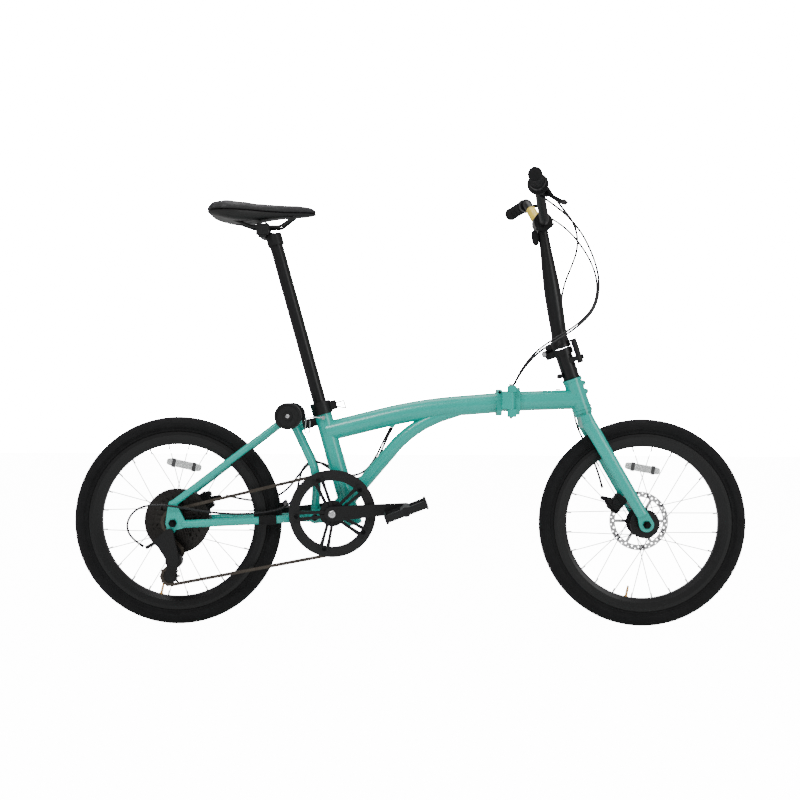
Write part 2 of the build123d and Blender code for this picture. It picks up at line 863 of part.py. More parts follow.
grip_length = math.hypot(grip_end_x - grip_x, bar_half_width - corner_y)
lever_reach = 25.0
with BuildPart() as grips:
    for left, start in ((1, grip_start), (-1, grip_start + shifter_length + 6)):
        rod(on_bar(left, start), on_bar(left, grip_length + 3), grip_radius)
        rod(on_bar(left, start), on_bar(left, start + 3), grip_radius + 2)
        rod(on_bar(left, start - 1), on_bar(left, grip_length + 0.02), bar_radius + 0.02, Mode.SUBTRACT)
save(grips, "grips")

with BuildPart() as twist_shifter:
    rod(on_bar(-1, grip_start + 4), on_bar(-1, grip_start + 11), 24)
    rod(on_bar(-1, grip_start + 11), on_bar(-1, grip_start + shifter_length + 5), 17.5)
    rod(
        on_bar(-1, grip_start),
        on_bar(-1, grip_start + shifter_length + 6),
        bar_radius + running_gap,
        Mode.SUBTRACT,
    )
save(twist_shifter, "twist_shifter")

with BuildPart() as lever_mounts:
    for left in (-1, 1):
        rod(on_bar(left, 11.5), on_bar(left, 27), 15.5)
        for off in (-8.0, 4.3):
            with BuildSketch(lever_plane(left, off)):
                Circle(7)
                with Locations((0, lever_reach)):
                    Circle(6)
                make_hull()
            extrude(amount=3.7)
        rod(on_bar(left, 16, lever_reach, -9), on_bar(left, 16, lever_reach, 9), lever_pin_radius)
        rod(on_bar(left, 20, 12, -9 * left), on_bar(left, -12, 20, -11 * left), 4)
        rod(on_bar(left, 7), on_bar(left, 28), bar_radius + 0.1, Mode.SUBTRACT)
save(lever_mounts, "lever_mounts")

for left, name in ((-1, "right_brake_lever"), (1, "left_brake_lever")):
    with BuildPart() as blade:
        spots = ((0, lever_reach, 6.5), (28, 50, 5), (60, 72, 4.5), (97, 82, 5.5))
        for near, far in zip(spots, spots[1:]):
            with BuildSketch(lever_plane(left, -4)):
                for along, down, radius in (near, far):
                    with Locations((along, down)):
                        Circle(radius)
                make_hull()
            extrude(amount=8)
        rod(
            on_bar(left, 16, lever_reach, -9),
            on_bar(left, 16, lever_reach, 9),
            lever_pin_radius + running_gap,
            Mode.SUBTRACT,
        )
    save(blade, name)


# ---- seatpost and saddle ----
with BuildPart() as seatpost:
    rod(seat(post_top - post_length), seat(post_top), post_radius)
    rod(seat(post_top - post_length - 1), seat(post_top - 20), post_radius - 2, Mode.SUBTRACT)
save(seatpost, "seatpost")

clamp_x = -348.0
clamp_z = 915.0
rail_path = (
    (-274.0, 12.0, 955.0),
    (-308.0, rail_half_gap, rail_z),
    (-374.0, rail_half_gap, rail_z),
    (-428.0, 34.0, 950.0),
)
with BuildPart() as saddle_rails:
    for left in (-1, 1):
        bent_tube([(x, left * y, z) for x, y, z in rail_path], [18.0, 18.0], rail_radius)
save(saddle_rails, "saddle_rails")

with BuildPart() as saddle_clamp:
    rod(seat(post_top - 24), seat(post_top + 3), post_radius + 3.5)
    block((clamp_x - 4, -9, clamp_z - 11), (clamp_x + 26, 9, clamp_z + 3))
    cross_rod(clamp_x, clamp_z, 11, -28, 28)
    for left in (-1, 1):
        middle = left * rail_half_gap
        block((clamp_x - 15, middle - 7, clamp_z - 4), (clamp_x + 15, middle + 7, rail_z + 6))
        for offset in (-9.0, 9.0):
            rod(
                (clamp_x + offset, middle, rail_z + 6),
                (clamp_x + offset, middle, rail_z + 8.5),
                4,
            )
        rod(
            (clamp_x - 20, middle, rail_z),
            (clamp_x + 20, middle, rail_z),
            rail_radius + 0.02,
            Mode.SUBTRACT,
        )
    rod(seat(post_top - 25), seat(post_top + 0.02), post_radius + 0.02, Mode.SUBTRACT)
save(saddle_clamp, "saddle_clamp")

saddle_sections = (
    (-475.0, 44.0, 963.0, 979.0),
    (-461.0, 66.0, 953.0, 990.0),
    (-430.0, 75.0, 945.0, 994.0),
    (-395.0, 66.0, 941.0, 990.0),
    (-355.0, 44.0, 945.0, 986.0),
    (-315.0, 27.0, 950.0, 985.0),
    (-270.0, 19.0, 953.0, 985.0),
    (-237.0, 16.0, 957.0, 980.0),
    (-224.0, 9.0, 961.0, 971.0),
)
shell_top = 962.0
for name, low, high in (("saddle_cover", shell_top, 1010.0), ("saddle_shell", 900.0, shell_top)):
    with BuildPart() as layer:
        for x, half, bottom, top in saddle_sections:
            with BuildSketch(Plane.YZ.offset(x)):
                with Locations((0, (bottom + top) / 2)):
                    RectangleRounded(2 * half, top - bottom, 0.42 * (top - bottom))
        loft()
        with Locations((-350, 0, low)):
            Box(
                400,
                300,
                high - low,
                align=(Align.CENTER, Align.CENTER, Align.MIN),
                mode=Mode.INTERSECT,
            )
    save(layer, name)


# ---- rear frame ----
stay_low = (
    (-523.0, rear_dropout_half + 1, 240.5),
    (-335.0, 36.0, 247.0),
    (-246.0, 15.5, 252.0),
)
strut_run = (
    (roller_x, 24.0, roller_z),
    (-226.0, 24.0, 372.0),
    (-220.0, 22.0, 325.0),
    (-224.0, 15.0, 264.0),
)
bumper_height = 256.0
with BuildPart() as rear_frame:
    cross_rod(pivot_x, pivot_z, pivot_barrel_radius, -pivot_barrel_half, pivot_barrel_half)
    block((-258, -24, 243), (pivot_x, 24, 264))
    cross_rod(roller_x, roller_z, cross_tube_radius, -48, 48)
    roller_bolt_end = roller_inner_y + roller_width + 1
    cross_rod(roller_x, roller_z, roller_bolt_radius, -roller_bolt_end, roller_bolt_end)
    for left in (-1, 1):
        bent_tube([(x, left * y, z) for x, y, z in stay_low], [160.0], stay_radius)
        bent_tube([(x, left * y, z) for x, y, z in strut_run], [90.0, 70.0], stay_radius)
        rod(
            (-548, left * (rear_dropout_half + 3), 284),
            (roller_x, left * 37, roller_z),
            seatstay_radius,
        )
        with BuildSketch(side(rear_dropout_half + dropout_thickness if left > 0 else -rear_dropout_half)):
            with Locations((rear_x, axle_z)):
                Circle(17)
            with Locations((-546, 286)):
                Circle(9)
            with Locations((-524, 241)):
                Circle(10)
            make_hull()
        extrude(amount=dropout_thickness)
    with BuildSketch(side(-rear_dropout_half)):
        with Locations((rear_x, axle_z)):
            Circle(12)
        with Locations((-551, 221)):
            Circle(9)
        make_hull()
    extrude(amount=dropout_thickness)
    with BuildSketch(side(59)):
        with Locations((-484.4, 264.5)):
            Circle(6)
        with Locations((-500, 244)):
            Circle(8)
        make_hull()
    extrude(amount=5.7)
    rod(seat(bumper_height, -63), Vector(roller_x + 2, 0, roller_z - 2), 9)
    rod(seat(bumper_height, -52), seat(bumper_height, -68), 12)
    cross_rod(pivot_x, pivot_z, pivot_radius + running_gap, -40, 40, Mode.SUBTRACT)
    cross_rod(rear_x, axle_z, axle_radius + 0.02, -90, 90, Mode.SUBTRACT)
save(rear_frame, "rear_frame")

with BuildPart() as elastomer:
    rod(seat(bumper_height, -seat_tube_radius - moving_gap), seat(bumper_height, -30), 10)
    rod(seat(bumper_height, -30), seat(bumper_height, -42), 11.5)
    rod(seat(bumper_height, -42), seat(bumper_height, -52), 10)
save(elastomer, "elastomer")

for left, name in ((-1, "roller_right"), (1, "roller_left")):
    with BuildPart() as roller:
        low = roller_inner_y if left > 0 else -roller_inner_y - roller_width
        high = low + roller_width
        recess = high - 4 if left > 0 else low
        cross_rod(roller_x, roller_z, roller_radius, low, high)
        cross_rod(roller_x, roller_z, roller_radius - 5, recess, recess + 4, Mode.SUBTRACT)
        cross_rod(roller_x, roller_z, 10, low, high)
        cross_rod(roller_x, roller_z, roller_bolt_radius + running_gap, low, high, Mode.SUBTRACT)
    save(roller, name)

hook_y = -25.0
with BuildPart() as fold_latch:
    rod(seat(260, 0, -20.6), seat(260, 0, -28), 4.5)
    hook_start = seat(260, 0, hook_y)
    bent_tube(
        (
            tuple(hook_start),
            (-244.0, hook_y, 487.0),
            (-247.0, hook_y, 450.0),
            (-236.0, hook_y, 449.0),
            (-235.0, hook_y, 478.0),
        ),
        [4.0, 4.0, 4.0],
        1.6,
    )
save(fold_latch, "fold_latch")


# ---- cranks and pedals ----
def crank_tip(turn):
    """Where a crank's pedal axle is."""
    return (
        bb_x + crank_length * math.cos(math.radians(turn)),
        bb_z + crank_length * math.sin(math.radians(turn)),
    )


spindle_end = crank_inner_y + 5
with BuildPart() as crank_axle:
    cross_rod(bb_x, bb_z, spindle_radius, -spindle_end, spindle_end)
save(crank_axle, "crank_axle")

for left, name in ((-1, "right_crank"), (1, "left_crank")):
    turn = crank_angle if left < 0 else crank_angle + 180
    tip_x, tip_z = crank_tip(turn)
    outer_face = crank_inner_y + crank_thickness
    near_low = -outer_face if left < 0 else crank_inner_y
    with BuildPart() as crank:
        with BuildSketch(side(near_low + crank_thickness)):
            with Locations((bb_x, bb_z)):
                Circle(17)
            with Locations((tip_x, tip_z)):
                Circle(11.5)
            make_hull()
        extrude(amount=crank_thickness)
        cross_rod(tip_x, tip_z, 5, min(left * 70, left * 176), max(left * 70, left * 176))
        cross_rod(tip_x, tip_z, 8, min(left * 74, left * 77.5), max(left * 74, left * 77.5))
        cross_rod(bb_x, bb_z, 13, min(left * 53, left * 62), max(left * 53, left * 62))
        if left < 0:
            cross_rod(bb_x, bb_z, 30, -56.2, -52.2)
            for n in range(5):
                spread = math.radians(41 + 72 * n)
                for sideways in (-5.0, 5.0):
                    start = Vector(
                        bb_x + 12 * math.cos(spread) - sideways * math.sin(spread),
                        -54.2,
                        bb_z + 12 * math.sin(spread) + sideways * math.cos(spread),
                    )
                    end = start + Vector(74 * math.cos(spread), 0, 74 * math.sin(spread))
                    rod(start, end, 1.9)
                pad_x = bb_x + 82 * math.cos(spread)
                pad_z = bb_z + 82 * math.sin(spread)
                cross_rod(pad_x, pad_z, 6.5, -56.2, -52.2)
        cross_rod(
            bb_x,
            bb_z,
            spindle_radius + 0.02,
            min(left * 50, left * (spindle_end + 0.02)),
            max(left * 50, left * (spindle_end + 0.02)),
            Mode.SUBTRACT,
        )
    save(crank, name)

with BuildPart() as chainring:
    sprocket(bb_x, bb_z, ring_teeth, chain_y, 2.4)
    cross_rod(bb_x, bb_z, 78, chain_y - 3, chain_y + 3, Mode.SUBTRACT)
save(chainring, "chainring")

with BuildPart() as chain_guard:
    cross_rod(bb_x, bb_z, guard_radius, -58.8, -56.2)
    cross_rod(bb_x, bb_z, 76, -60, -55, Mode.SUBTRACT)
save(chain_guard, "chain_guard")

pedal_length = 100.0
pedal_height = 17.0
pedal_inner_y = 79.0
pedal_width = 97.0
for left, name in ((-1, "right_pedal"), (1, "left_pedal")):
    tip_x, tip_z = crank_tip(crank_angle if left < 0 else crank_angle + 180)
    lean = math.radians(pedal_tilt)
    middle_y = left * (pedal_inner_y + pedal_width / 2)
    pedal_plane = Plane(
        origin=(tip_x, middle_y, tip_z),
        x_dir=(math.cos(lean), 0, math.sin(lean)),
        z_dir=(-math.sin(lean), 0, math.cos(lean)),
    )
    with BuildPart() as pedal:
        with Locations(pedal_plane):
            Box(pedal_length, pedal_width, pedal_height)
            with Locations((28, 0), (-28, 0)):
                Box(34, pedal_width - 16, 30, mode=Mode.SUBTRACT)
            with Locations((28, 0), (-28, 0)):
                Box(36, 7, pedal_height - 6)
            with GridLocations(pedal_length - 6, 12, 2, 8):
                Box(5, 5, pedal_height + 6)
        cross_rod(tip_x, tip_z, 11, middle_y - pedal_width / 2, middle_y + pedal_width / 2)
        cross_rod(tip_x, tip_z, 5 + running_gap, middle_y - 60, middle_y + 60, Mode.SUBTRACT)
    save(pedal, name)

with BuildPart() as cassette:
    for n, teeth in enumerate(cog_teeth):
        sprocket(rear_x, axle_z, teeth, chain_y + n * cog_spacing, 1.8)
    cross_rod(rear_x, axle_z, 17, -54, -20)
    cross_rod(rear_x, axle_z, 76, -21.4, -20.3)
    for n in range(6):
        spread = math.radians(60 * n + 15)
        for y, radius, ring in ((-22.2, 50, 9), (-27.0, 42, 6)):
            cross_rod(
                rear_x + radius * math.cos(spread),
                axle_z + radius * math.sin(spread),
                ring,
                y - 1,
                y + 1,
                Mode.SUBTRACT,
            )
    cross_rod(rear_x, axle_z, axle_radius + running_gap, -60, -10, Mode.SUBTRACT)
save(cassette, "cassette")


# ---- derailleur ----
hanger_bolt = (-551.0, 221.0)
knuckle_low = -82.0
with BuildPart() as derailleur_body:
    cross_rod(*hanger_bolt, 8, -84, -rear_dropout_half - dropout_thickness)
    with BuildSketch(side(-76)):
        with Locations(hanger_bolt):
            Circle(10)
        with Locations((-574, 203)):
            Circle(9)
        with Locations(cage_pivot):
            Circle(13)
        make_hull()
    extrude(amount=9)
    cross_rod(*cage_pivot, 19, knuckle_low, -58)
    rod((-572, -80, 205), (-604, -80, 187), 4.2)
    cross_rod(*cage_pivot, 3, -60, -55.2)
save(derailleur_body, "derailleur_body")

with BuildPart() as derailleur_cage:
    for plate_y in (-55.6, -45.0):
        with BuildSketch(side(plate_y)):
            for spot, radius in ((guide_pulley, 9), (cage_pivot, 9), (tension_pulley, 11)):
                with Locations(spot):
                    Circle(radius)
            make_hull()
        extrude(amount=1.6)
    for spot in (guide_pulley, tension_pulley):
        cross_rod(*spot, 3, -57.2, -45)
    cross_rod(*cage_pivot, 3 + running_gap, -60, -55.2, Mode.SUBTRACT)
save(derailleur_cage, "derailleur_cage")

for spot, name in ((guide_pulley, "guide_pulley"), (tension_pulley, "tension_pulley")):
    with BuildPart() as pulley:
        sprocket(*spot, pulley_teeth, chain_y, 2.4)
        cross_rod(*spot, 6, chain_y - 3.4, chain_y + 3.4)
        cross_rod(*spot, 3 + running_gap, -60, -40, Mode.SUBTRACT)
    save(pulley, name)


# ---- chain ----
loop_circles = (
    ((bb_x, bb_z), pitch_radius(ring_teeth), 1),
    ((rear_x, axle_z), pitch_radius(small_cog_teeth), 1),
    (guide_pulley, pitch_radius(pulley_teeth), -1),
    (tension_pulley, pitch_radius(pulley_teeth), 1),
)


def chain_tangent(a, b):
    """The straight run from circle a to circle b: its direction, its two ends' normals and turns."""
    (ax, az), ra, sa = a
    (bx, bz), rb, sb = b
    span = math.hypot(bx - ax, bz - az)
    heading = math.atan2(bz - az, bx - ax) - math.asin((sb * rb - sa * ra) / span)
    normal = (-math.sin(heading), math.cos(heading))
    start = (ax - normal[0] * sa * ra, az - normal[1] * sa * ra)
    end = (bx - normal[0] * sb * rb, bz - normal[1] * sb * rb)
    return heading, normal, start, end


runs = [
    chain_tangent(loop_circles[n], loop_circles[(n + 1) % 4]) for n in range(4)
]


def chain_loop(offset):
    """One edge of the chain in side view, offset to the outside of its pitch line."""
    with BuildLine() as line:
        for n in range(4):
            centre_at, radius, turning = loop_circles[n]
            before = runs[n - 1]
            after = runs[n]
            r = radius + turning * offset
            into = (
                centre_at[0] - before[1][0] * turning * r,
                centre_at[1] - before[1][1] * turning * r,
            )
            out = (
                centre_at[0] - after[1][0] * turning * r,
                centre_at[1] - after[1][1] * turning * r,
            )
            swept = (after[0] - before[0]) * turning % (2 * math.pi)
            middle_turn = before[0] + turning * swept / 2
            middle = (
                centre_at[0] + turning * r * math.sin(middle_turn),
                centre_at[1] - turning * r * math.cos(middle_turn),
            )
            ThreePointArc(into, middle, out)
            following = loop_circles[(n + 1) % 4]
            r_next = following[1] + following[2] * offset
            landing = (
                following[0][0] - after[1][0] * following[2] * r_next,
                following[0][1] - after[1][1] * following[2] * r_next,
            )
            Line(out, landing)
    return line


with BuildPart() as chain:
    for low in (chain_y - chain_outer_half, chain_y + chain_inner_half):
        with BuildSketch(side(low + chain_outer_half - chain_inner_half)):
            add(make_face(chain_loop(chain_half_height).edges(), mode=Mode.PRIVATE))
            add(make_face(chain_loop(-chain_half_height).edges(), mode=Mode.PRIVATE), mode=Mode.SUBTRACT)
        extrude(amount=chain_outer_half - chain_inner_half)
    for n in (0, 3):
        start, end = runs[n][2], runs[n][3]
        length = math.dist(start, end)
        for step in range(2, int(length / (2 * chain_pitch)) - 1):
            share = step * 2 * chain_pitch / length
            cross_rod(
                start[0] + (end[0] - start[0]) * share,
                start[1] + (end[1] - start[1]) * share,
                2.5,
                chain_y - chain_outer_half,
                chain_y + chain_outer_half,
            )
save(chain, "chain")


# ---- cables ----
front_brake_run = (
    tuple(on_bar(-1, -14.5, 20.6, 11.2)),
    (336, -94, 971),
    (366, -70, 944),
    (384, -38, 912),
    (388, -4, 880),
    (380, 26, 848),
    (366, 42, 812),
    (358, 47, 772),
    (359, 46, 728),
    (367, 44, 684),
    (378, 42, 642),
    (386, 41, 598),
    (388, 42, 555),
    (386, 43, 513),
    (395, 44, 470),
    (414, 45, 430),
    (434, 46, 392),
    (449, 47, 356),
    (458, 48, 322),
)
rear_brake_run = (
    tuple(on_bar(1, -14.5, 20.6, -11.2)),
    (332, 95, 974),
    (360, 79, 954),
    (385, 56, 926),
    (405, 31, 893),
    (421, 7, 858),
    (431, -14, 821),
    (432, -29, 784),
    (423, -39, 750),
    (402, -45, 721),
    (372, -47, 697),
    (341, -46, 677),
    (309, -43, 658),
    (280, -36, 633),
    (258, -27, 602),
    (243, -17, 572),
    (237, -10, 556),
)
gear_run = (
    (286, -148, 984),
    (320, -124, 967),
    (356, -97, 944),
    (388, -73, 913),
    (409, -59, 879),
    (425, -52, 842),
    (433, -50, 803),
    (430, -53, 765),
    (416, -57, 732),
    (390, -59, 705),
    (359, -59, 682),
    (326, -57, 662),
    (295, -52, 641),
    (268, -44, 613),
    (249, -34, 584),
    (241, -26, 568),
)
rear_brake_tail = (
    (-48, 4, 462),
    (-66, 12, 428),
    (-82, 22, 392),
    (-104, 29, 360),
    (-134, 32, 346),
    (-168, 34, 352),
    (-202, 39, 376),
    (-236, 42, 380),
    (-264, 44, 352),
    (-288, 46, 317),
    (-322, 49, 293),
    (-362, 53, 284),
    (-402, 56, 288),
    (-440, 58, 296),
)
gear_tail = (
    (-44, -4, 462),
    (-60, 8, 428),
    (-76, 20, 392),
    (-98, 26.5, 357),
    (-128, 26.5, 337),
    (-164, 26, 344),
    (-196, 22, 368),
    (-226, 9, 386),
    (-252, -2, 372),
    (-262, -8, 335),
    (-268, -13, 297),
    (-297, -25, 273),
    (-342, -36, 264),
    (-396, -47, 262),
    (-446, -57, 265),
    (-492, -71, 273),
    (-536, -84, 282),
    (-582, -87, 287),
    (-624, -88, 279),
    (-648, -88, 247),
    (-640, -86, 210),
    (-610, -81, 191),
)
cords = {
    "front_brake_cable": (front_brake_run,),
    "rear_brake_cable": (rear_brake_run, rear_brake_tail),
    "gear_cable": (gear_run, gear_tail),
}
for name, lengths in cords.items():
    wanted = 0.0
    with BuildPart() as cord:
        for points in lengths:
            bends = cord_radii(points)
            bent_tube(points, bends, cable_radius)
            with BuildLine(mode=Mode.PRIVATE) as line:
                FilletPolyline(*points, radius=bends)
            run_length = sum(edge.length for edge in line.edges())
            wanted += math.pi * cable_radius**2 * run_length
            print(name, "length", round(run_length), "bends", [round(bend) for bend in bends])
    print(name, "volume", round(cord.part.volume), "against", round(wanted))
    save(cord, name)
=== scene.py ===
import math
import random

import bpy
from mathutils import Matrix, Vector


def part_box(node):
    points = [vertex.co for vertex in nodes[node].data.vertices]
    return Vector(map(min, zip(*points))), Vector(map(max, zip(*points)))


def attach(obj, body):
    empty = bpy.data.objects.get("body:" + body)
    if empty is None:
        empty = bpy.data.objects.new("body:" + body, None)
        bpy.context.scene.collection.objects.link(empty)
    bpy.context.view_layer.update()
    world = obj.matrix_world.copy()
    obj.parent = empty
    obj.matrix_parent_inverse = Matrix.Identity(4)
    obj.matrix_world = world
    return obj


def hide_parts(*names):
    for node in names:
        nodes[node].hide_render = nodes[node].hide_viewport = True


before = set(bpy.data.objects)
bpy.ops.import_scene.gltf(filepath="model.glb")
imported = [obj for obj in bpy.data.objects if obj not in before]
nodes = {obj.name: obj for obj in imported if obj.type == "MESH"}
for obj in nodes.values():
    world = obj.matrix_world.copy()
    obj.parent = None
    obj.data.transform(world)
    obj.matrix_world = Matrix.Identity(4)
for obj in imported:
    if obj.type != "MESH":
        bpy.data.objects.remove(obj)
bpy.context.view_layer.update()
random.seed(11)

# ---- sizes taken from the frame ----
front_low, front_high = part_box("front_rotor")
rear_low, rear_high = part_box("rear_rotor")
FRONT_HUB = Vector(((front_low[0] + front_high[0]) / 2, 0, (front_low[2] + front_high[2]) / 2))
REAR_HUB = Vector(((rear_low[0] + rear_high[0]) / 2, 0, (rear_low[2] + rear_high[2]) / 2))
ring_low, ring_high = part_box("chainring")
BB = Vector(((ring_low[0] + ring_high[0]) / 2, 0, (ring_low[2] + ring_high[2]) / 2))
CHAIN_Y = (ring_low[1] + ring_high[1]) / 2
TYRE_RADIUS = 0.243
TYRE_SECTION = 0.019
RIM_SEAT = 0.208
RIM_INNER = 0.178


# ---- materials ----
class Nodes:
    """A small helper that adds nodes to one material and links them."""

    def __init__(self, name, **shader):
        self.material = bpy.data.materials.new(name)
        self.material.use_nodes = True
        self.tree = self.material.node_tree
        self.shader = next(n for n in self.tree.nodes if n.type == "BSDF_PRINCIPLED")
        for key, value in shader.items():
            self.shader.inputs[key.replace("_", " ")].default_value = value
        coords = self.tree.nodes.new("ShaderNodeTexCoord")
        self.coords = coords.outputs["Object"]

    def add(self, kind, **settings):
        node = self.tree.nodes.new(kind)
        for key, value in settings.items():
            if hasattr(node, key):
                setattr(node, key, value)
            else:
                node.inputs[key.replace("_", " ")].default_value = value
        return node

    def link(self, source, target):
        self.tree.links.new(source, target)

    def noise(self, scale, detail=3.0, roughness=0.55, stretch=None):
        node = self.add("ShaderNodeTexNoise", Scale=scale, Detail=detail, Roughness=roughness)
        source = self.coords
        if stretch:
            mapping = self.add("ShaderNodeMapping")
            mapping.inputs["Scale"].default_value = stretch
            self.link(source, mapping.inputs["Vector"])
            source = mapping.outputs["Vector"]
        self.link(source, node.inputs["Vector"])
        return node.outputs["Fac"]

    def voronoi(self, scale, feature="F1"):
        node = self.add("ShaderNodeTexVoronoi", Scale=scale)
        node.feature = feature
        self.link(self.coords, node.inputs["Vector"])
        return node.outputs["Distance"]

    def ramp(self, source, stops):
        node = self.add("ShaderNodeValToRGB")
        elements = node.color_ramp.elements
        while len(elements) < len(stops):
            elements.new(0.5)
        for element, (place, colour) in zip(elements, stops):
            element.position = place
            element.color = (*colour, 1.0)
        self.link(source, node.inputs["Fac"])
        return node.outputs["Color"]

    def colour(self, source, stops):
        self.link(self.ramp(source, stops), self.shader.inputs["Base Color"])

    def rough(self, source, low, high):
        node = self.add("ShaderNodeMapRange")
        node.inputs["To Min"].default_value = low
        node.inputs["To Max"].default_value = high
        self.link(source, node.inputs["Value"])
        self.link(node.outputs["Result"], self.shader.inputs["Roughness"])

    def bump(self, source, strength, distance):
        node = self.add("ShaderNodeBump")
        node.inputs["Strength"].default_value = strength
        node.inputs["Distance"].default_value = distance
        previous = self.shader.inputs["Normal"]
        if previous.is_linked:
            self.link(previous.links[0].from_socket, node.inputs["Normal"])
        self.link(source, node.inputs["Height"])
        self.link(node.outputs["Normal"], self.shader.inputs["Normal"])


def shade(colour, factor):
    """A darker or lighter copy of a colour."""
    return tuple(min(1.0, c * factor) for c in colour)


def paint(name, colour, roughness=0.25, coat=0.6, shine=0.5):
    """Sprayed and lacquered paint: faint orange peel, faint colour drift, dust in the lacquer."""
    m = Nodes(name, Coat_Weight=coat, Coat_Roughness=0.08, Specular_IOR_Level=shine)
    m.colour(m.noise(9.0, 4.0), [(0.3, shade(colour, 0.93)), (0.7, shade(colour, 1.05))])
    m.rough(m.noise(60.0, 5.0), roughness * 0.8, roughness * 1.3)
    m.bump(m.noise(420.0, 2.0), 0.06, 0.0004)
    m.bump(m.noise(28.0, 2.0), 0.05, 0.001)
    return m.material


def plastic(name, colour, roughness=0.45, grain=900.0, depth=0.12):
    """Moulded plastic with a fine spark-eroded grain."""
    m = Nodes(name, Specular_IOR_Level=0.35)
    m.colour(m.noise(35.0, 5.0), [(0.3, shade(colour, 0.8)), (0.72, shade(colour, 1.3))])
    m.rough(m.noise(80.0, 4.0), roughness * 0.85, roughness * 1.2)
    m.bump(m.voronoi(grain), depth, 0.0003)
    return m.material


def metal(name, colour, roughness=0.25, stretch=(1.0, 14.0, 1.0), scale=180.0, metallic=1.0):
    """Machined or plated metal with fine tool marks and a little grime."""
    m = Nodes(name, Metallic=metallic)
    m.colour(m.noise(22.0, 6.0, 0.65), [(0.28, shade(colour, 0.62)), (0.62, colour)])
    m.rough(m.noise(scale, 4.0, 0.6, stretch), roughness * 0.6, roughness * 1.7)
    m.bump(m.noise(scale, 3.0, 0.6, stretch), 0.12, 0.0002)
    return m.material


def rubber(name, colour, roughness=0.7, scale=500.0):
    """Matt rubber with a faint bloom."""
    m = Nodes(name, Sheen_Weight=0.03, Sheen_Roughness=0.5, Specular_IOR_Level=0.25)
    m.colour(m.noise(26.0, 6.0, 0.7), [(0.25, shade(colour, 0.75)), (0.75, shade(colour, 1.5))])
    m.rough(m.noise(55.0, 4.0), roughness * 0.85, min(1.0, roughness * 1.2))
    m.bump(m.noise(scale, 4.0), 0.22, 0.0005)
    return m.material


CELESTE = (0.001, 0.40, 0.33)
celeste = paint("celeste_paint", CELESTE, 0.3, 0.35)
black_paint = paint("satin_black", (0.003, 0.003, 0.0035), 0.42, 0.04, 0.3)
black_gloss = paint("gloss_black", (0.003, 0.003, 0.0035), 0.36, 0.05, 0.3)
black_plastic = plastic("black_plastic", (0.004, 0.004, 0.0045))
grey_plastic = plastic("grey_plastic", (0.05, 0.05, 0.052), 0.4)
silver = metal("plated_steel", (0.62, 0.62, 0.63), 0.24)
rotor_metal = metal("ground_steel", (0.66, 0.66, 0.67), 0.3, (1.0, 1.0, 1.0), 320.0)
black_steel = metal("black_steel", (0.016, 0.016, 0.017), 0.38, (1.0, 1.0, 1.0), 240.0)
cog_metal = metal("cog_steel", (0.045, 0.042, 0.04), 0.36, (1.0, 1.0, 1.0), 260.0)
chain_metal = metal("chain_steel", (0.09, 0.078, 0.066), 0.36, (1.0, 1.0, 1.0), 380.0)
brass = metal("valve_brass", (0.72, 0.42, 0.16), 0.3)
tyre_rubber = rubber("tyre_rubber", (0.003, 0.003, 0.0035), 0.8, 650.0)
soft_rubber = rubber("grip_rubber", (0.004, 0.004, 0.0045), 0.78, 900.0)
jacket = plastic("cable_jacket", (0.010, 0.010, 0.011), 0.32, 1500.0, 0.05)


def leather():
    """Grained synthetic leather: fine cells, soft creases and a slight sheen."""
    m = Nodes("saddle_skin", Sheen_Weight=0.05, Sheen_Roughness=0.4, Specular_IOR_Level=0.35)
    m.colour(m.noise(30.0, 5.0), [(0.3, (0.008, 0.008, 0.009)), (0.75, (0.021, 0.021, 0.023))])
    m.rough(m.noise(45.0, 3.0), 0.42, 0.62)
    m.bump(m.voronoi(620.0, "SMOOTH_F1"), 0.4, 0.0005)
    m.bump(m.noise(70.0, 5.0), 0.18, 0.0009)
    return m.material


def clear_reflector():
    """A prismatic reflector: pale, glassy, with a fine cell pattern."""
    m = Nodes("reflector", Roughness=0.12, IOR=1.49, Transmission_Weight=0.25, Alpha=0.92)
    m.colour(m.voronoi(420.0), [(0.1, (0.42, 0.43, 0.43)), (0.6, (0.74, 0.76, 0.75))])
    m.bump(m.voronoi(420.0), 0.6, 0.0008)
    return m.material


def label_yellow():
    """A blank printed label with a slight edge wear."""
    m = Nodes("label_yellow", Coat_Weight=0.3)
    m.colour(m.noise(60.0, 4.0), [(0.3, (0.68, 0.47, 0.02)), (0.7, (0.86, 0.62, 0.04))])
    m.rough(m.noise(90.0), 0.3, 0.45)
    return m.material


saddle_skin = leather()
reflector_glass = clear_reflector()
yellow = label_yellow()

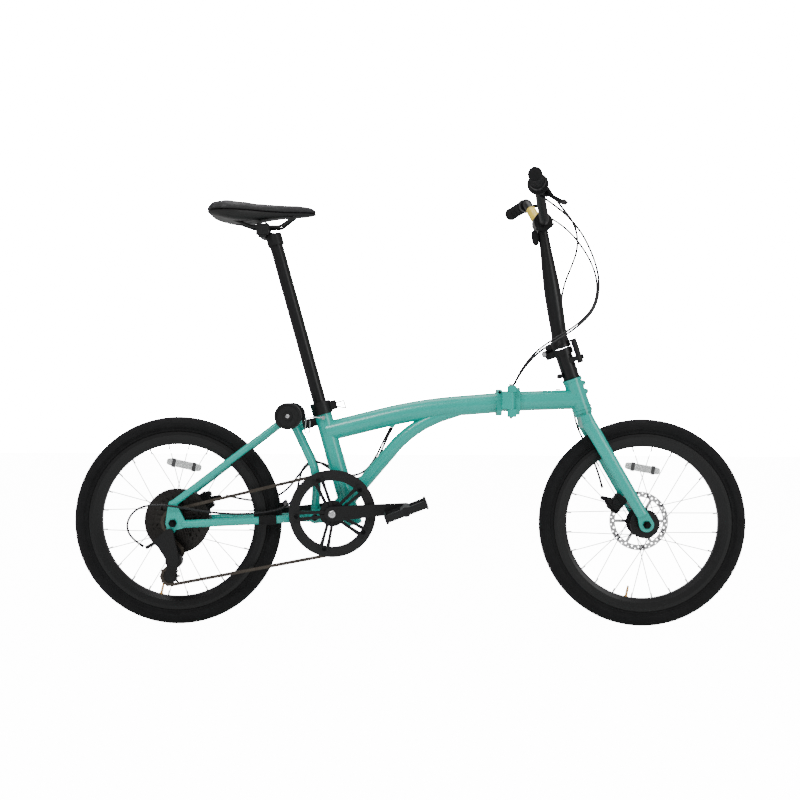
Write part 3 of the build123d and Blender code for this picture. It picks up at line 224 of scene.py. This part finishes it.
NODE_MATERIALS = {
    celeste: ("main_frame", "front_frame", "fork", "rear_frame"),
    black_gloss: ("front_rim", "rear_rim", "handlepost", "stem_base", "seatpost", "handlebar"),
    black_paint: (
        "hinge_lever",
        "stem_latch",
        "bar_clamp",
        "lever_mounts",
        "right_brake_lever",
        "left_brake_lever",
        "front_hub",
        "rear_hub",
        "right_crank",
        "left_crank",
        "derailleur_body",
        "derailleur_cage",
        "front_caliper",
        "rear_caliper",
        "front_brake_arm",
        "rear_brake_arm",
        "saddle_clamp",
        "saddle_rails",
        "seat_clamp",
    ),
    black_plastic: (
        "twist_shifter",
        "chain_guard",
        "roller_left",
        "roller_right",
        "left_pedal",
        "right_pedal",
        "guide_pulley",
        "tension_pulley",
        "saddle_shell",
        "seat_clamp_lever",
    ),
    black_steel: (
        "front_spokes",
        "rear_spokes",
        "crank_axle",
        "chainring",
        "front_axle",
        "rear_axle",
    ),
    silver: ("frame_pins", "stem_hinge_pin", "fold_latch"),
    rotor_metal: ("front_rotor", "rear_rotor"),
    cog_metal: ("cassette",),
    chain_metal: ("chain",),
    tyre_rubber: ("front_tyre", "rear_tyre"),
    soft_rubber: ("grips", "elastomer"),
    jacket: ("front_brake_cable", "rear_brake_cable", "gear_cable"),
    saddle_skin: ("saddle_cover",),
}
for material, names in NODE_MATERIALS.items():
    for name in names:
        mesh = nodes[name].data
        mesh.materials.clear()
        mesh.materials.append(material)


# ---- mesh helpers ----
def new_object(name, mesh, material, smooth=True):
    mesh.materials.append(material)
    obj = bpy.data.objects.new(name, mesh)
    bpy.context.scene.collection.objects.link(obj)
    for face in mesh.polygons:
        face.use_smooth = smooth
    return obj


def mesh_from(name, verts, faces, material, smooth=True):
    mesh = bpy.data.meshes.new(name)
    mesh.from_pydata([tuple(v) for v in verts], [], faces)
    mesh.update()
    return new_object(name, mesh, material, smooth)


def grid_faces(rows, columns, wrap_rows=False, wrap_columns=True):
    """Quads of a grid of vertices stored row by row."""
    faces = []
    for i in range(rows if wrap_rows else rows - 1):
        for j in range(columns if wrap_columns else columns - 1):
            a = i * columns + j
            b = i * columns + (j + 1) % columns
            c = ((i + 1) % rows) * columns + (j + 1) % columns
            d = ((i + 1) % rows) * columns + j
            faces.append((a, b, c, d))
    return faces


def lathe(name, origin, axis, profile, material, segments=48, closed=True):
    """A turned piece: profile is (distance along the axis, radius)."""
    axis = Vector(axis).normalized()
    side = axis.orthogonal().normalized()
    up = axis.cross(side)
    verts = []
    for along, radius in profile:
        for k in range(segments):
            turn = 2 * math.pi * k / segments
            spoke = side * math.cos(turn) + up * math.sin(turn)
            verts.append(Vector(origin) + axis * along + spoke * radius)
    faces = grid_faces(len(profile), segments)
    if closed:
        faces.append(tuple(range(segments))[::-1])
        faces.append(tuple(range((len(profile) - 1) * segments, len(profile) * segments)))
    obj = mesh_from(name, verts, faces, material)
    edge_split(obj)
    return obj


def edge_split(obj, angle=35):
    modifier = obj.modifiers.new("edges", "EDGE_SPLIT")
    modifier.split_angle = math.radians(angle)


def bolt(name, place, axis, radius, height, body, material=None, socket=True):
    """A button-head screw with a hexagon socket."""
    profile = [
        (0.0, radius),
        (height * 0.45, radius),
        (height * 0.8, radius * 0.86),
        (height, radius * 0.6),
    ]
    if socket:
        profile += [(height, radius * 0.46), (height * 0.3, radius * 0.42)]
    obj = lathe(name, place, axis, profile, material or silver, 24)
    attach(obj, body)
    return obj


def join(name, parts, material, smooth=False):
    """One mesh object from a list of (vertices, faces)."""
    verts, faces = [], []
    for part_verts, part_faces in parts:
        base = len(verts)
        verts += part_verts
        faces += [tuple(base + i for i in face) for face in part_faces]
    return mesh_from(name, verts, faces, material, smooth)


def slab(outline, low_y, high_y):
    """Vertices and faces of an outline in (x, z), extruded between two y values."""
    n = len(outline)
    verts = [Vector((x, low_y, z)) for x, z in outline]
    verts += [Vector((x, high_y, z)) for x, z in outline]
    faces = [tuple(range(n)), tuple(range(2 * n - 1, n - 1, -1))]
    for i in range(n):
        j = (i + 1) % n
        faces.append((j, i, n + i, n + j))
    return verts, faces


# ---- tyres, with a bead, a ribbed shoulder and siped tread ----
def tyre(name, hub, body, node):
    around, across = 540, 44
    verts = []
    start = math.radians(156)  # far enough round for the bead to sit in the rim
    for i in range(around):
        turn = 2 * math.pi * i / around
        for j in range(across):
            share = -1 + 2 * j / (across - 1)
            bend = share * start
            radius = TYRE_SECTION - 0.0006
            edge = abs(math.degrees(bend))
            if edge < 52:
                groove = any(abs(edge - g) < 2.4 for g in (9, 27))
                slant = (i * 4 + (1 if share > 0 else -1) * j * 6) % 48
                sipe = slant < 7 and 12 < edge < 48
                radius += -0.0011 if groove or sipe else 0.0004
            elif 96 < edge < 100 or 118 < edge < 121:
                radius += 0.0004
            reach = TYRE_RADIUS - TYRE_SECTION + radius * math.cos(bend)
            reach = max(reach, RIM_SEAT - 0.0035)
            sideways = radius * math.sin(bend)
            if edge > 112:
                sideways = math.copysign(min(abs(sideways), 0.0128), sideways)
            verts.append(
                hub + Vector((reach * math.cos(turn), sideways, reach * math.sin(turn)))
            )
    faces = grid_faces(around, across, wrap_rows=True, wrap_columns=False)
    obj = mesh_from(name, verts, faces, tyre_rubber)
    thick = obj.modifiers.new("wall", "SOLIDIFY")
    thick.thickness = 0.0022
    thick.offset = -1
    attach(obj, body)
    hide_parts(node)
    return obj


tyre("front_tyre_tread", FRONT_HUB, "front_wheel", "front_tyre")
tyre("rear_tyre_tread", REAR_HUB, "rear_wheel", "rear_tyre")


# ---- valves, spoke nipples and reflectors ----
def wheel_trim(end, hub, body, valve_turn, reflector_place, tilt):
    turn = math.radians(valve_turn)
    out = Vector((math.cos(turn), 0, math.sin(turn)))
    stem = lathe(
        f"{end}_valve",
        hub + out * (RIM_INNER + 0.001),
        -out,
        [
            (0, 0.0045),
            (0.003, 0.0045),
            (0.003, 0.003),
            (0.02, 0.003),
            (0.02, 0.0025),
            (0.027, 0.0025),
        ],
        brass,
        20,
    )
    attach(stem, body)
    rings = []
    for n in range(24):
        rim_turn = math.radians(15 * n + 7.5)
        out = Vector((math.cos(rim_turn), 0, math.sin(rim_turn)))
        across = Vector((0, 1, 0))
        along = out.cross(across)
        base = hub + out * (RIM_INNER - 0.006) + across * (0.0029 if n % 2 else -0.0029)
        verts, segments = [], 8
        for height, radius in ((0.0075, 0.0019), (0.0, 0.0019), (-0.005, 0.0014)):
            for k in range(segments):
                a = 2 * math.pi * k / segments
                verts.append(base + out * height + (across * math.cos(a) + along * math.sin(a)) * radius)
        faces = grid_faces(3, segments) + [tuple(range(16, 24))]
        rings.append((verts, faces))
    nipples = join(f"{end}_nipples", rings, silver, True)
    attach(nipples, body)
    # reflector: a rounded bar held between two spokes
    x, y, z = reflector_place
    lean = Matrix.Rotation(math.radians(tilt), 4, "Y")
    half, tall = 0.041, 0.0088
    outline = []
    for k in range(32):
        a = 2 * math.pi * k / 32
        corner_x = math.copysign(abs(math.cos(a)) ** 0.35, math.cos(a))
        corner_z = math.copysign(abs(math.sin(a)) ** 0.45, math.sin(a))
        outline.append((half * corner_x, tall * corner_z))
    body_verts, body_faces = slab(outline, -0.005, 0.005)
    lens = join(
        f"{end}_reflector",
        [([Vector((x, y, z)) + lean @ v for v in body_verts], body_faces)],
        reflector_glass,
    )
    bevel = lens.modifiers.new("round", "BEVEL")
    bevel.width = 0.0012
    bevel.segments = 3
    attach(lens, body)
    clips = []
    for place in (-0.024, 0.024):
        middle = lean @ Vector((place, 0, 0))
        box_outline = [(-0.004, -0.0105), (0.004, -0.0105), (0.004, 0.0105), (-0.004, 0.0105)]
        clip_verts, clip_faces = slab(box_outline, -0.0062, -0.004)
        clips.append(([Vector((x, y, z)) + middle + lean @ v for v in clip_verts], clip_faces))
    holders = join(f"{end}_reflector_clips", clips, grey_plastic)
    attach(holders, body)


wheel_trim("front", FRONT_HUB, "front_wheel", -102, (0.5425, -0.0105, 0.3705), 10)
wheel_trim("rear", REAR_HUB, "rear_wheel", -103, (-0.530, -0.0105, 0.3735), 12)


# ---- saddle ----
def saddle_outline(x):
    """Half width, bottom and top of the saddle at x, eased between the stations."""
    stations = (
        (-0.475, 0.040, 0.964, 0.977),
        (-0.461, 0.064, 0.954, 0.988),
        (-0.430, 0.073, 0.948, 0.9915),
        (-0.395, 0.064, 0.945, 0.988),
        (-0.355, 0.042, 0.948, 0.9845),
        (-0.315, 0.026, 0.952, 0.9835),
        (-0.270, 0.0185, 0.955, 0.983),
        (-0.237, 0.0155, 0.958, 0.978),
        (-0.224, 0.008, 0.962, 0.970),
    )
    for a, b in zip(stations, stations[1:]):
        if a[0] <= x <= b[0]:
            t = (x - a[0]) / (b[0] - a[0])
            t = t * t * (3 - 2 * t)
            return [a[k] + (b[k] - a[k]) * t for k in range(1, 4)]
    return list(stations[-1][1:])


def make_saddle():
    rows, columns = 56, 40
    verts = []
    for i in range(rows):
        x = -0.475 + 0.251 * i / (rows - 1)
        half, bottom, top = saddle_outline(x)
        base = max(bottom, 0.9632)
        for j in range(columns):
            a = 2 * math.pi * j / columns
            y = half * math.copysign(abs(math.cos(a)) ** 0.75, math.cos(a))
            rise = math.sin(a)
            z = base + (top - base) * (rise if rise > 0 else 0) ** 0.7
            verts.append(Vector((x, y, z)))
    faces = grid_faces(rows, columns)
    faces.append(tuple(range(columns)))
    faces.append(tuple(range(rows * columns - 1, (rows - 1) * columns - 1, -1)))
    obj = mesh_from("saddle_padding", verts, faces, saddle_skin)
    bpy.context.view_layer.objects.active = obj
    obj.select_set(True)
    remesh = obj.modifiers.new("remesh", "REMESH")
    remesh.mode = "VOXEL"
    remesh.voxel_size = 0.0042
    bpy.ops.object.modifier_apply(modifier=remesh.name)
    rest = [v.co.copy() for v in obj.data.vertices]
    cloth = obj.modifiers.new("cloth", "CLOTH")
    cloth.settings.use_pressure = True
    cloth.settings.uniform_pressure_force = 3.0
    cloth.settings.effector_weights.gravity = 0
    pinned = obj.vertex_groups.new(name="base")
    pinned.add([i for i, p in enumerate(rest) if p.z < 0.9655], 1.0, "REPLACE")
    cloth.settings.vertex_group_mass = "base"
    for step in range(1, 17):
        bpy.context.scene.frame_set(step)
    bpy.ops.object.modifier_apply(modifier=cloth.name)
    bpy.context.scene.frame_set(1)
    cap = 0.0035
    for vertex, start in zip(obj.data.vertices, rest):
        move = vertex.co - start
        if move.length > cap:
            vertex.co = start + move.normalized() * cap
        # the sewn panel seams and the long channel down the middle
        x, y = vertex.co.x, abs(vertex.co.y)
        half, _, top = saddle_outline(min(max(x, -0.475), -0.2241))
        if vertex.co.z > top - 0.014 and -0.45 < x < -0.25:
            channel = math.exp(-((y / 0.0065) ** 2)) * 0.0035
            seam = math.exp(-(((y - half * 0.62) / 0.0022) ** 2)) * 0.0014
            fade = min(1.0, (x + 0.45) / 0.04, (-0.25 - x) / 0.04)
            vertex.co.z -= (channel + seam) * max(0.0, fade)
    smooth = obj.modifiers.new("smooth", "SMOOTH")
    smooth.factor = 0.5
    smooth.iterations = 2
    subdivide = obj.modifiers.new("subdivide", "SUBSURF")
    subdivide.levels = 1
    subdivide.render_levels = 1
    for face in obj.data.polygons:
        face.use_smooth = True
    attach(obj, "seatpost")
    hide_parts("saddle_cover")
    return obj


make_saddle()


# ---- grips: ribbed rubber with an end cap ----
def bar_line(left):
    start = Vector((0.284, left * 0.120, 1.008))
    end = Vector((0.258, left * 0.280, 1.008))
    return start, (end - start).normalized(), (end - start).length


def grip(name, left, begin):
    start, along, length = bar_line(left)
    end = length + 0.003
    around, steps = 64, 150
    verts = []
    side = along.orthogonal().normalized()
    up = along.cross(side)
    for i in range(steps + 1):
        share = begin + (end - begin) * i / steps
        radius = 0.0146
        from_start, from_end = share - begin, end - share
        if from_start < 0.004:
            radius = 0.0172
        elif from_end < 0.008:
            radius = 0.0160 - max(0.0, 0.003 - from_end) * 0.8
        else:
            radius += 0.0007 * (1 if math.sin(share * 2 * math.pi / 0.0052) > 0.1 else -1)
        for k in range(around):
            turn = 2 * math.pi * k / around
            palm = 0.0006 * math.cos(turn) * math.sin(math.pi * i / steps)
            spoke = side * math.cos(turn) + up * math.sin(turn)
            verts.append(start + along * share + spoke * (radius + palm))
    faces = grid_faces(steps + 1, around)
    faces.append(tuple(range(around))[::-1])
    faces.append(tuple(range(steps * around, (steps + 1) * around)))
    obj = mesh_from(name, verts, faces, soft_rubber)
    edge_split(obj, 50)
    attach(obj, "handlepost")
    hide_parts("grips")


grip("left_grip", 1, 0.032)
grip("right_grip", -1, 0.076)


# ---- chain links along the loop ----
PITCH = 0.0127


def pitch_radius(teeth):
    return PITCH / (2 * math.sin(math.pi / teeth))


def node_centre(name):
    low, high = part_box(name)
    return ((low[0] + high[0]) / 2, (low[2] + high[2]) / 2)


GUIDE = node_centre("guide_pulley")
TENSION = node_centre("tension_pulley")
LOOP = (
    ((BB.x, BB.z), pitch_radius(46), 1),
    ((REAR_HUB.x, REAR_HUB.z), pitch_radius(14), 1),
    (GUIDE, pitch_radius(10), -1),
    (TENSION, pitch_radius(10), 1),
)


def loop_points():
    """Points every half millimetre along the chain's pitch line."""
    runs = []
    for n in range(4):
        (ax, az), ra, sa = LOOP[n]
        (bx, bz), rb, sb = LOOP[(n + 1) % 4]
        span = math.hypot(bx - ax, bz - az)
        heading = math.atan2(bz - az, bx - ax) - math.asin((sb * rb - sa * ra) / span)
        normal = (-math.sin(heading), math.cos(heading))
        runs.append(
            (
                heading,
                (ax - normal[0] * sa * ra, az - normal[1] * sa * ra),
                (bx - normal[0] * sb * rb, bz - normal[1] * sb * rb),
            )
        )
    points = []
    for n in range(4):
        (cx, cz), radius, sense = LOOP[n]
        before, after = runs[n - 1], runs[n]
        swept = (after[0] - before[0]) * sense % (2 * math.pi)
        steps = max(2, int(swept * radius / 0.0005))
        for k in range(steps):
            turn = before[0] + sense * swept * k / steps
            points.append((cx + sense * radius * math.sin(turn), cz - sense * radius * math.cos(turn)))
        length = math.dist(after[1], after[2])
        steps = max(2, int(length / 0.0005))
        for k in range(steps):
            share = k / steps
            points.append(
                (
                    after[1][0] + (after[2][0] - after[1][0]) * share,
                    after[1][1] + (after[2][1] - after[1][1]) * share,
                )
            )
    return points


def pins_along(points):
    """The chain's pins, spaced evenly round the loop at about one pitch."""
    lengths = [math.dist(a, b) for a, b in zip(points, points[1:] + points[:1])]
    total = sum(lengths)
    count = 2 * round(total / PITCH / 2)
    pins, walked, wanted = [], 0.0, 0.0
    for point, length in zip(points, lengths):
        while wanted <= walked + length and len(pins) < count:
            pins.append(point)
            wanted += total / count
        walked += length
    return pins


def make_chain():
    pins = pins_along(loop_points())
    plates, rollers = [], []
    for n, a in enumerate(pins):
        b = pins[(n + 1) % len(pins)]
        outer = n % 2
        turn = math.atan2(b[1] - a[1], b[0] - a[0])
        span = math.dist(a, b)
        outline = []
        for k in range(28):
            t = 2 * math.pi * k / 28
            centre = span if math.cos(t) > 0 else 0.0
            u = centre + 0.0042 * math.cos(t)
            v = 0.0042 * math.sin(t)
            if abs(math.cos(t)) < 0.25:
                v *= 0.86
            outline.append(
                (
                    a[0] + u * math.cos(turn) - v * math.sin(turn),
                    a[1] + u * math.sin(turn) + v * math.cos(turn),
                )
            )
        near = 0.0026 if outer else 0.0018
        for side in (-1, 1):
            y = CHAIN_Y + side * near
            plates.append(slab(outline, min(y, y + side * 0.0007), max(y, y + side * 0.0007)))
        for half, radius in ((0.0034, 0.0018), (0.0017, 0.0037)):
            turns = [2 * math.pi * k / 10 for k in range(10)]
            circle = [(a[0] + radius * math.cos(t), a[1] + radius * math.sin(t)) for t in turns]
            rollers.append(slab(circle, CHAIN_Y - half, CHAIN_Y + half))
    obj = join("chain_links", plates + rollers, chain_metal)
    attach(obj, "rear_frame")
    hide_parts("chain")


make_chain()


# ---- cable housings ----
def cable(name, points, diameter, body, node):
    curve = bpy.data.curves.new(name, "CURVE")
    curve.dimensions = "3D"
    spline = curve.splines.new("NURBS")
    spline.points.add(len(points) - 1)
    for point, (x, y, z) in zip(spline.points, points):
        point.co = (x / 1000, y / 1000, z / 1000, 1)
    spline.order_u = 3
    spline.use_endpoint_u = True
    spline.resolution_u = 8
    curve.bevel_depth = diameter / 2
    curve.bevel_resolution = 5
    curve.use_fill_caps = True
    curve.materials.append(jacket)
    obj = bpy.data.objects.new(name, curve)
    bpy.context.scene.collection.objects.link(obj)
    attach(obj, body)
    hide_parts(node)
    for end, (here, then) in (("near", points[:2]), ("far", points[-1:-3:-1])):
        place = Vector(here) / 1000
        inwards = (Vector(then) - Vector(here)).normalized()
        cap = lathe(
            f"{name}_{end}_ferrule",
            place - inwards * 0.0015,
            inwards,
            [(0, 0.0031), (0.008, 0.0031), (0.0095, 0.0028)],
            black_steel,
            20,
        )
        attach(cap, body)
    return obj


front_brake_run = (
    (309.0, -109.4, 1003.2),
    (336, -94, 971),
    (366, -70, 944),
    (384, -38, 912),
    (388, -4, 880),
    (380, 26, 848),
    (366, 42, 812),
    (358, 47, 772),
    (359, 46, 728),
    (367, 44, 684),
    (378, 42, 642),
    (386, 41, 598),
    (388, 42, 555),
    (386, 43, 513),
    (395, 44, 470),
    (414, 45, 430),
    (434, 46, 392),
    (449, 47, 356),
    (458, 48, 322),
)
rear_brake_run = (
    (309.0, 109.4, 1003.2),
    (332, 95, 974),
    (360, 79, 954),
    (385, 56, 926),
    (405, 31, 893),
    (421, 7, 858),
    (431, -14, 821),
    (432, -29, 784),
    (423, -39, 750),
    (402, -45, 721),
    (372, -47, 697),
    (341, -46, 677),
    (309, -43, 658),
    (280, -36, 633),
    (258, -27, 602),
    (243, -17, 572),
    (237, -10, 556),
)
gear_run = (
    (286, -148, 984),
    (320, -124, 967),
    (356, -97, 944),
    (388, -73, 913),
    (409, -59, 879),
    (425, -52, 842),
    (433, -50, 803),
    (430, -53, 765),
    (416, -57, 732),
    (390, -59, 705),
    (359, -59, 682),
    (326, -57, 662),
    (295, -52, 641),
    (268, -44, 613),
    (249, -34, 584),
    (241, -26, 568),
)
rear_brake_tail = (
    (-48, 4, 462),
    (-66, 12, 428),
    (-82, 22, 392),
    (-104, 29, 360),
    (-134, 32, 346),
    (-168, 34, 352),
    (-202, 39, 376),
    (-236, 42, 380),
    (-264, 44, 352),
    (-288, 46, 317),
    (-322, 49, 293),
    (-362, 53, 284),
    (-402, 56, 288),
    (-440, 58, 296),
)
gear_tail = (
    (-44, -4, 462),
    (-60, 8, 428),
    (-76, 20, 392),
    (-98, 26.5, 357),
    (-128, 26.5, 337),
    (-164, 26, 344),
    (-196, 22, 368),
    (-226, 9, 386),
    (-252, -2, 372),
    (-262, -8, 335),
    (-268, -13, 297),
    (-297, -25, 273),
    (-342, -36, 264),
    (-396, -47, 262),
    (-446, -57, 265),
    (-492, -71, 273),
    (-536, -84, 282),
    (-582, -87, 287),
    (-624, -88, 279),
    (-648, -88, 247),
    (-640, -86, 210),
    (-610, -81, 191),
)
CABLE = 0.005
cable("front_brake_housing", front_brake_run, CABLE, "steering", "front_brake_cable")
cable("rear_brake_housing", rear_brake_run, CABLE, "frame", "rear_brake_cable")
cable("gear_housing", gear_run, CABLE, "frame", "gear_cable")
cable("rear_brake_tail_housing", rear_brake_tail, CABLE, "frame", "rear_brake_cable")
cable("gear_tail_housing", gear_tail, CABLE, "frame", "gear_cable")

# ---- small fittings ----
HEAD_FOOT = Vector((0.4045, 0, 0.5005))
HEAD_ANGLE = math.radians(18.9)
STEER_UP = Vector((-math.sin(HEAD_ANGLE), 0, math.cos(HEAD_ANGLE)))
STEER_FORE = Vector((math.cos(HEAD_ANGLE), 0, math.sin(HEAD_ANGLE)))
RIGHT = Vector((0, -1, 0))

CARRIER_HEIGHTS = (0.066, 0.0455)
CRANK_FACE = 0.0751
RING_BOLT_REACH = 0.0835
RING_BOLT_FACE = -0.0588


def facing(y):
    """The outward sideways direction at a place to the left or right of the middle."""
    return Vector((0, math.copysign(1, y), 0))


for n, height in enumerate(CARRIER_HEIGHTS):
    place = HEAD_FOOT + STEER_UP * height + STEER_FORE * 0.0248
    bolt(f"carrier_screw_{n}", place, STEER_FORE, 0.0046, 0.0034, "front_frame", black_steel)
port = Vector((0.345, 0, 0.5532))
bolt("tube_port_plug", port, Vector((-0.05, 0, 1)), 0.0055, 0.003, "front_frame", black_plastic, False)
bolt("hinge_adjuster", Vector((0.206, -0.0302, 0.547)), RIGHT, 0.0034, 0.002, "frame", black_steel)
hinge_top = Vector((0.232, -0.036, 0.5648))
bolt("hinge_pin_head", hinge_top, Vector((0, 0, 1)), 0.0058, 0.0016, "frame", silver)
for side, y in (("right", -CRANK_FACE), ("left", CRANK_FACE)):
    place = Vector((BB.x, y, BB.z))
    bolt(f"{side}_crank_bolt", place, facing(y), 0.0085, 0.004, "crank", silver)
for n in range(5):
    spread = math.radians(41 + 72 * n)
    reach = Vector((math.cos(spread), 0, math.sin(spread))) * RING_BOLT_REACH
    place = BB + reach + Vector((0, RING_BOLT_FACE, 0))
    bolt(f"ring_bolt_{n}", place, RIGHT, 0.0052, 0.0022, "crank", black_steel)

SPIDER_FIRST = math.radians(41)
SPIDER_FACE = -0.0589
SPIDER_THICK = 0.0018


def spider():
    """Five forked arms over the ring's bolts, on the crank's own turn."""
    inner = ((14, 0.8), (40, 2.2), (68, 4.6), (86, 7.5), (90, 11))
    outer = ((85, 13.5), (58, 10.5), (30, 9), (14, 8.5))
    edge = inner + outer
    arms = []
    for n in range(5):
        turn = SPIDER_FIRST + math.radians(72 * n)
        for side in (-1, 1):
            outline = []
            for out, across in edge:
                out, across = out / 1000, side * across / 1000
                outline.append(
                    (
                        BB.x + out * math.cos(turn) - across * math.sin(turn),
                        BB.z + out * math.sin(turn) + across * math.cos(turn),
                    )
                )
            if side < 0:
                outline.reverse()
            arms.append(slab(outline, SPIDER_FACE - SPIDER_THICK, SPIDER_FACE))
    obj = join("crank_spider", arms, black_paint)
    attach(obj, "crank")


spider()
ROLLER = node_centre("roller_right")
for side, y in (("right", -0.0731), ("left", 0.0731)):
    place = Vector((ROLLER[0], y, ROLLER[1]))
    bolt(f"{side}_roller_bolt", place, facing(y), 0.005, 0.0035, "rear_frame", silver)
for side, y in (("right", -0.0372), ("left", 0.0372)):
    bolt(f"{side}_pivot_bolt", Vector((-0.222, y, 0.254)), facing(y), 0.0078, 0.003, "frame", black_steel)
face = Vector((math.cos(math.radians(35)), 0, math.sin(math.radians(35))))
lift = Vector((-face.z, 0, face.x))
corners = [(across, along) for across in (0.0175, -0.0175) for along in (0.017, -0.017)]
for n, (across, along) in enumerate(corners):
    place = Vector((0.306, 0, 0.945)) + face * 0.0172 + Vector((0, across, 0)) + lift * along
    bolt(f"bar_clamp_bolt_{n}", place, face, 0.003, 0.0022, "handlepost", silver)
for end, hub in (("front", FRONT_HUB), ("rear", REAR_HUB)):
    spot = (front_high if end == "front" else rear_high)[1]
    for n in range(6):
        turn = math.radians(60 * n + 30)
        place = Vector((hub.x + 0.0165 * math.cos(turn), spot, hub.z + 0.0165 * math.sin(turn)))
        bolt(f"{end}_rotor_bolt_{n}", place, Vector((0, 1, 0)), 0.0028, 0.0018, f"{end}_wheel", silver)

# headset and bottom bracket cups
CUP_RADIUS = 0.0225
cup = lathe(
    "headset_cup_1",
    HEAD_FOOT + STEER_UP * 0.0852,
    STEER_UP,
    [(-0.0045, CUP_RADIUS + 0.0008), (-0.0005, CUP_RADIUS + 0.0011), (0.0, CUP_RADIUS)],
    black_steel,
    48,
)
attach(cup, "front_frame")
for side in (-1, 1):
    cup = lathe(
        f"bottom_bracket_cup_{'left' if side > 0 else 'right'}",
        Vector((BB.x, side * 0.0338, BB.z)),
        Vector((0, side, 0)),
        [(0, 0.0185), (0.004, 0.0185), (0.0055, 0.0165), (0.0055, 0.0095)],
        black_steel,
        40,
    )
    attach(cup, "frame")


# neoprene band round the right chainstay
def band():
    a, b = Vector((-0.352, -0.0388, 0.2464)), Vector((-0.312, -0.0312, 0.2482))
    axis = (b - a).normalized()
    side = axis.orthogonal().normalized()
    up = axis.cross(side)
    around, rows = 48, 24
    verts = []
    for i in range(rows):
        share = i / (rows - 1)
        centre = a + (b - a) * share
        swell = 0.0018 + 0.0004 * math.sin(math.pi * share)
        for k in range(around):
            t = 2 * math.pi * k / around
            stitch = 0.0003 * math.sin(share * 70) * math.exp(-((math.cos(t / 2)) ** 2) * 60)
            verts.append(centre + (side * math.cos(t) + up * math.sin(t)) * (0.009 + swell + stitch))
    obj = mesh_from("chainstay_band", verts, grid_faces(rows, around), soft_rubber)
    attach(obj, "rear_frame")


band()


# the blank label on the left riser of the handlebar
def riser_label():
    a, b = Vector((0.3020, 0.0585, 0.9565)), Vector((0.2905, 0.0975, 0.9892))
    axis = (b - a).normalized()
    side = axis.orthogonal().normalized()
    up = axis.cross(side)
    around, rows = 40, 12
    verts = []
    for i in range(rows):
        centre = a + (b - a) * i / (rows - 1)
        for k in range(around):
            t = 2 * math.pi * k / around
            verts.append(centre + (side * math.cos(t) + up * math.sin(t)) * 0.0121)
    obj = mesh_from("riser_label", verts, grid_faces(rows, around), yellow)
    solid = obj.modifiers.new("thick", "SOLIDIFY")
    solid.thickness = 0.0006
    solid.offset = -1
    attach(obj, "handlepost")


riser_label()

# an oval rubber bumper behind the top of the post
bumper = lathe(
    "post_bumper",
    Vector((0.2925, 0, 0.892)),
    Vector((-0.16, 0, 0.987)),
    [(0.0, 0.003), (0.003, 0.0065), (0.012, 0.0085), (0.024, 0.0085), (0.033, 0.0065), (0.036, 0.003)],
    soft_rubber,
    32,
)
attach(bumper, "handlepost")

# ---- crisp edges and smooth shading on the CAD pieces ----
for node in nodes.values():
    for face in node.data.polygons:
        face.use_smooth = True
    edge_split(node, 32)

# ---- floor, light and camera ----
SEEN_WHITE = 40.0  # what the camera sees behind the bicycle
SKY_LIGHT = 0.5  # what the sky gives as light
FLOOR_GLOW = 14.0  # seen by the camera only
FLOOR_HALF = 9
FLOOR_DROP = -0.0005
CAMERA_PLACE = (-0.0257, -2.85, 0.5276)
CAMERA_ROLL = math.radians(0.3)
floor_material = Nodes("studio_floor", Roughness=0.9)
floor_material.colour(
    floor_material.noise(2.0), [(0.3, (0.93, 0.93, 0.93)), (0.7, (0.96, 0.96, 0.96))]
)
glow = floor_material.add("ShaderNodeLightPath")
floor_material.link(glow.outputs["Is Camera Ray"], floor_material.shader.inputs["Emission Strength"])
floor_material.shader.inputs["Emission Color"].default_value = (FLOOR_GLOW, FLOOR_GLOW, FLOOR_GLOW, 1)
floor = mesh_from(
    "studio_sweep",
    [
        (-FLOOR_HALF, -FLOOR_HALF, FLOOR_DROP),
        (FLOOR_HALF, -FLOOR_HALF, FLOOR_DROP),
        (FLOOR_HALF, FLOOR_HALF, FLOOR_DROP),
        (-FLOOR_HALF, FLOOR_HALF, FLOOR_DROP),
    ],
    [(0, 1, 2, 3)],
    floor_material.material,
    False,
)

world = bpy.data.worlds.new("studio")
world.use_nodes = True
sky = world.node_tree.nodes["Background"]
sky.inputs["Color"].default_value = (1.0, 1.0, 1.0, 1)
sight = world.node_tree.nodes.new("ShaderNodeLightPath")
level = world.node_tree.nodes.new("ShaderNodeMath")
level.operation = "MULTIPLY_ADD"
level.inputs[1].default_value = SEEN_WHITE
level.inputs[2].default_value = SKY_LIGHT
world.node_tree.links.new(sight.outputs["Is Camera Ray"], level.inputs[0])
world.node_tree.links.new(level.outputs[0], sky.inputs["Strength"])
bpy.context.scene.world = world


def area_light(name, place, target, size, power):
    light = bpy.data.lights.new(name, "AREA")
    light.shape = "RECTANGLE"
    light.size, light.size_y = size
    light.energy = power
    obj = bpy.data.objects.new(name, light)
    obj.location = place
    obj.rotation_euler = (Vector(target) - Vector(place)).to_track_quat("-Z", "Y").to_euler()
    bpy.context.scene.collection.objects.link(obj)


MIDDLE = (0, 0, 0.45)
area_light("key", (-1.2, -2.4, 3.0), MIDDLE, (1.6, 0.9), 65)
area_light("fill", (2.4, -2.4, 1.4), MIDDLE, (1.2, 1.6), 30)
area_light("top", (0.2, 0.4, 3.2), MIDDLE, (2.6, 1.6), 40)

camera_data = bpy.data.cameras.new("camera")
camera_data.sensor_width = 36
camera_data.lens = 54.6
camera_data.clip_end = 50
camera = bpy.data.objects.new("camera", camera_data)
camera.location = CAMERA_PLACE
camera.rotation_euler = (
    Matrix.Rotation(math.radians(90), 4, "X") @ Matrix.Rotation(CAMERA_ROLL, 4, "Z")
).to_euler()
bpy.context.scene.collection.objects.link(camera)
bpy.context.scene.camera = camera
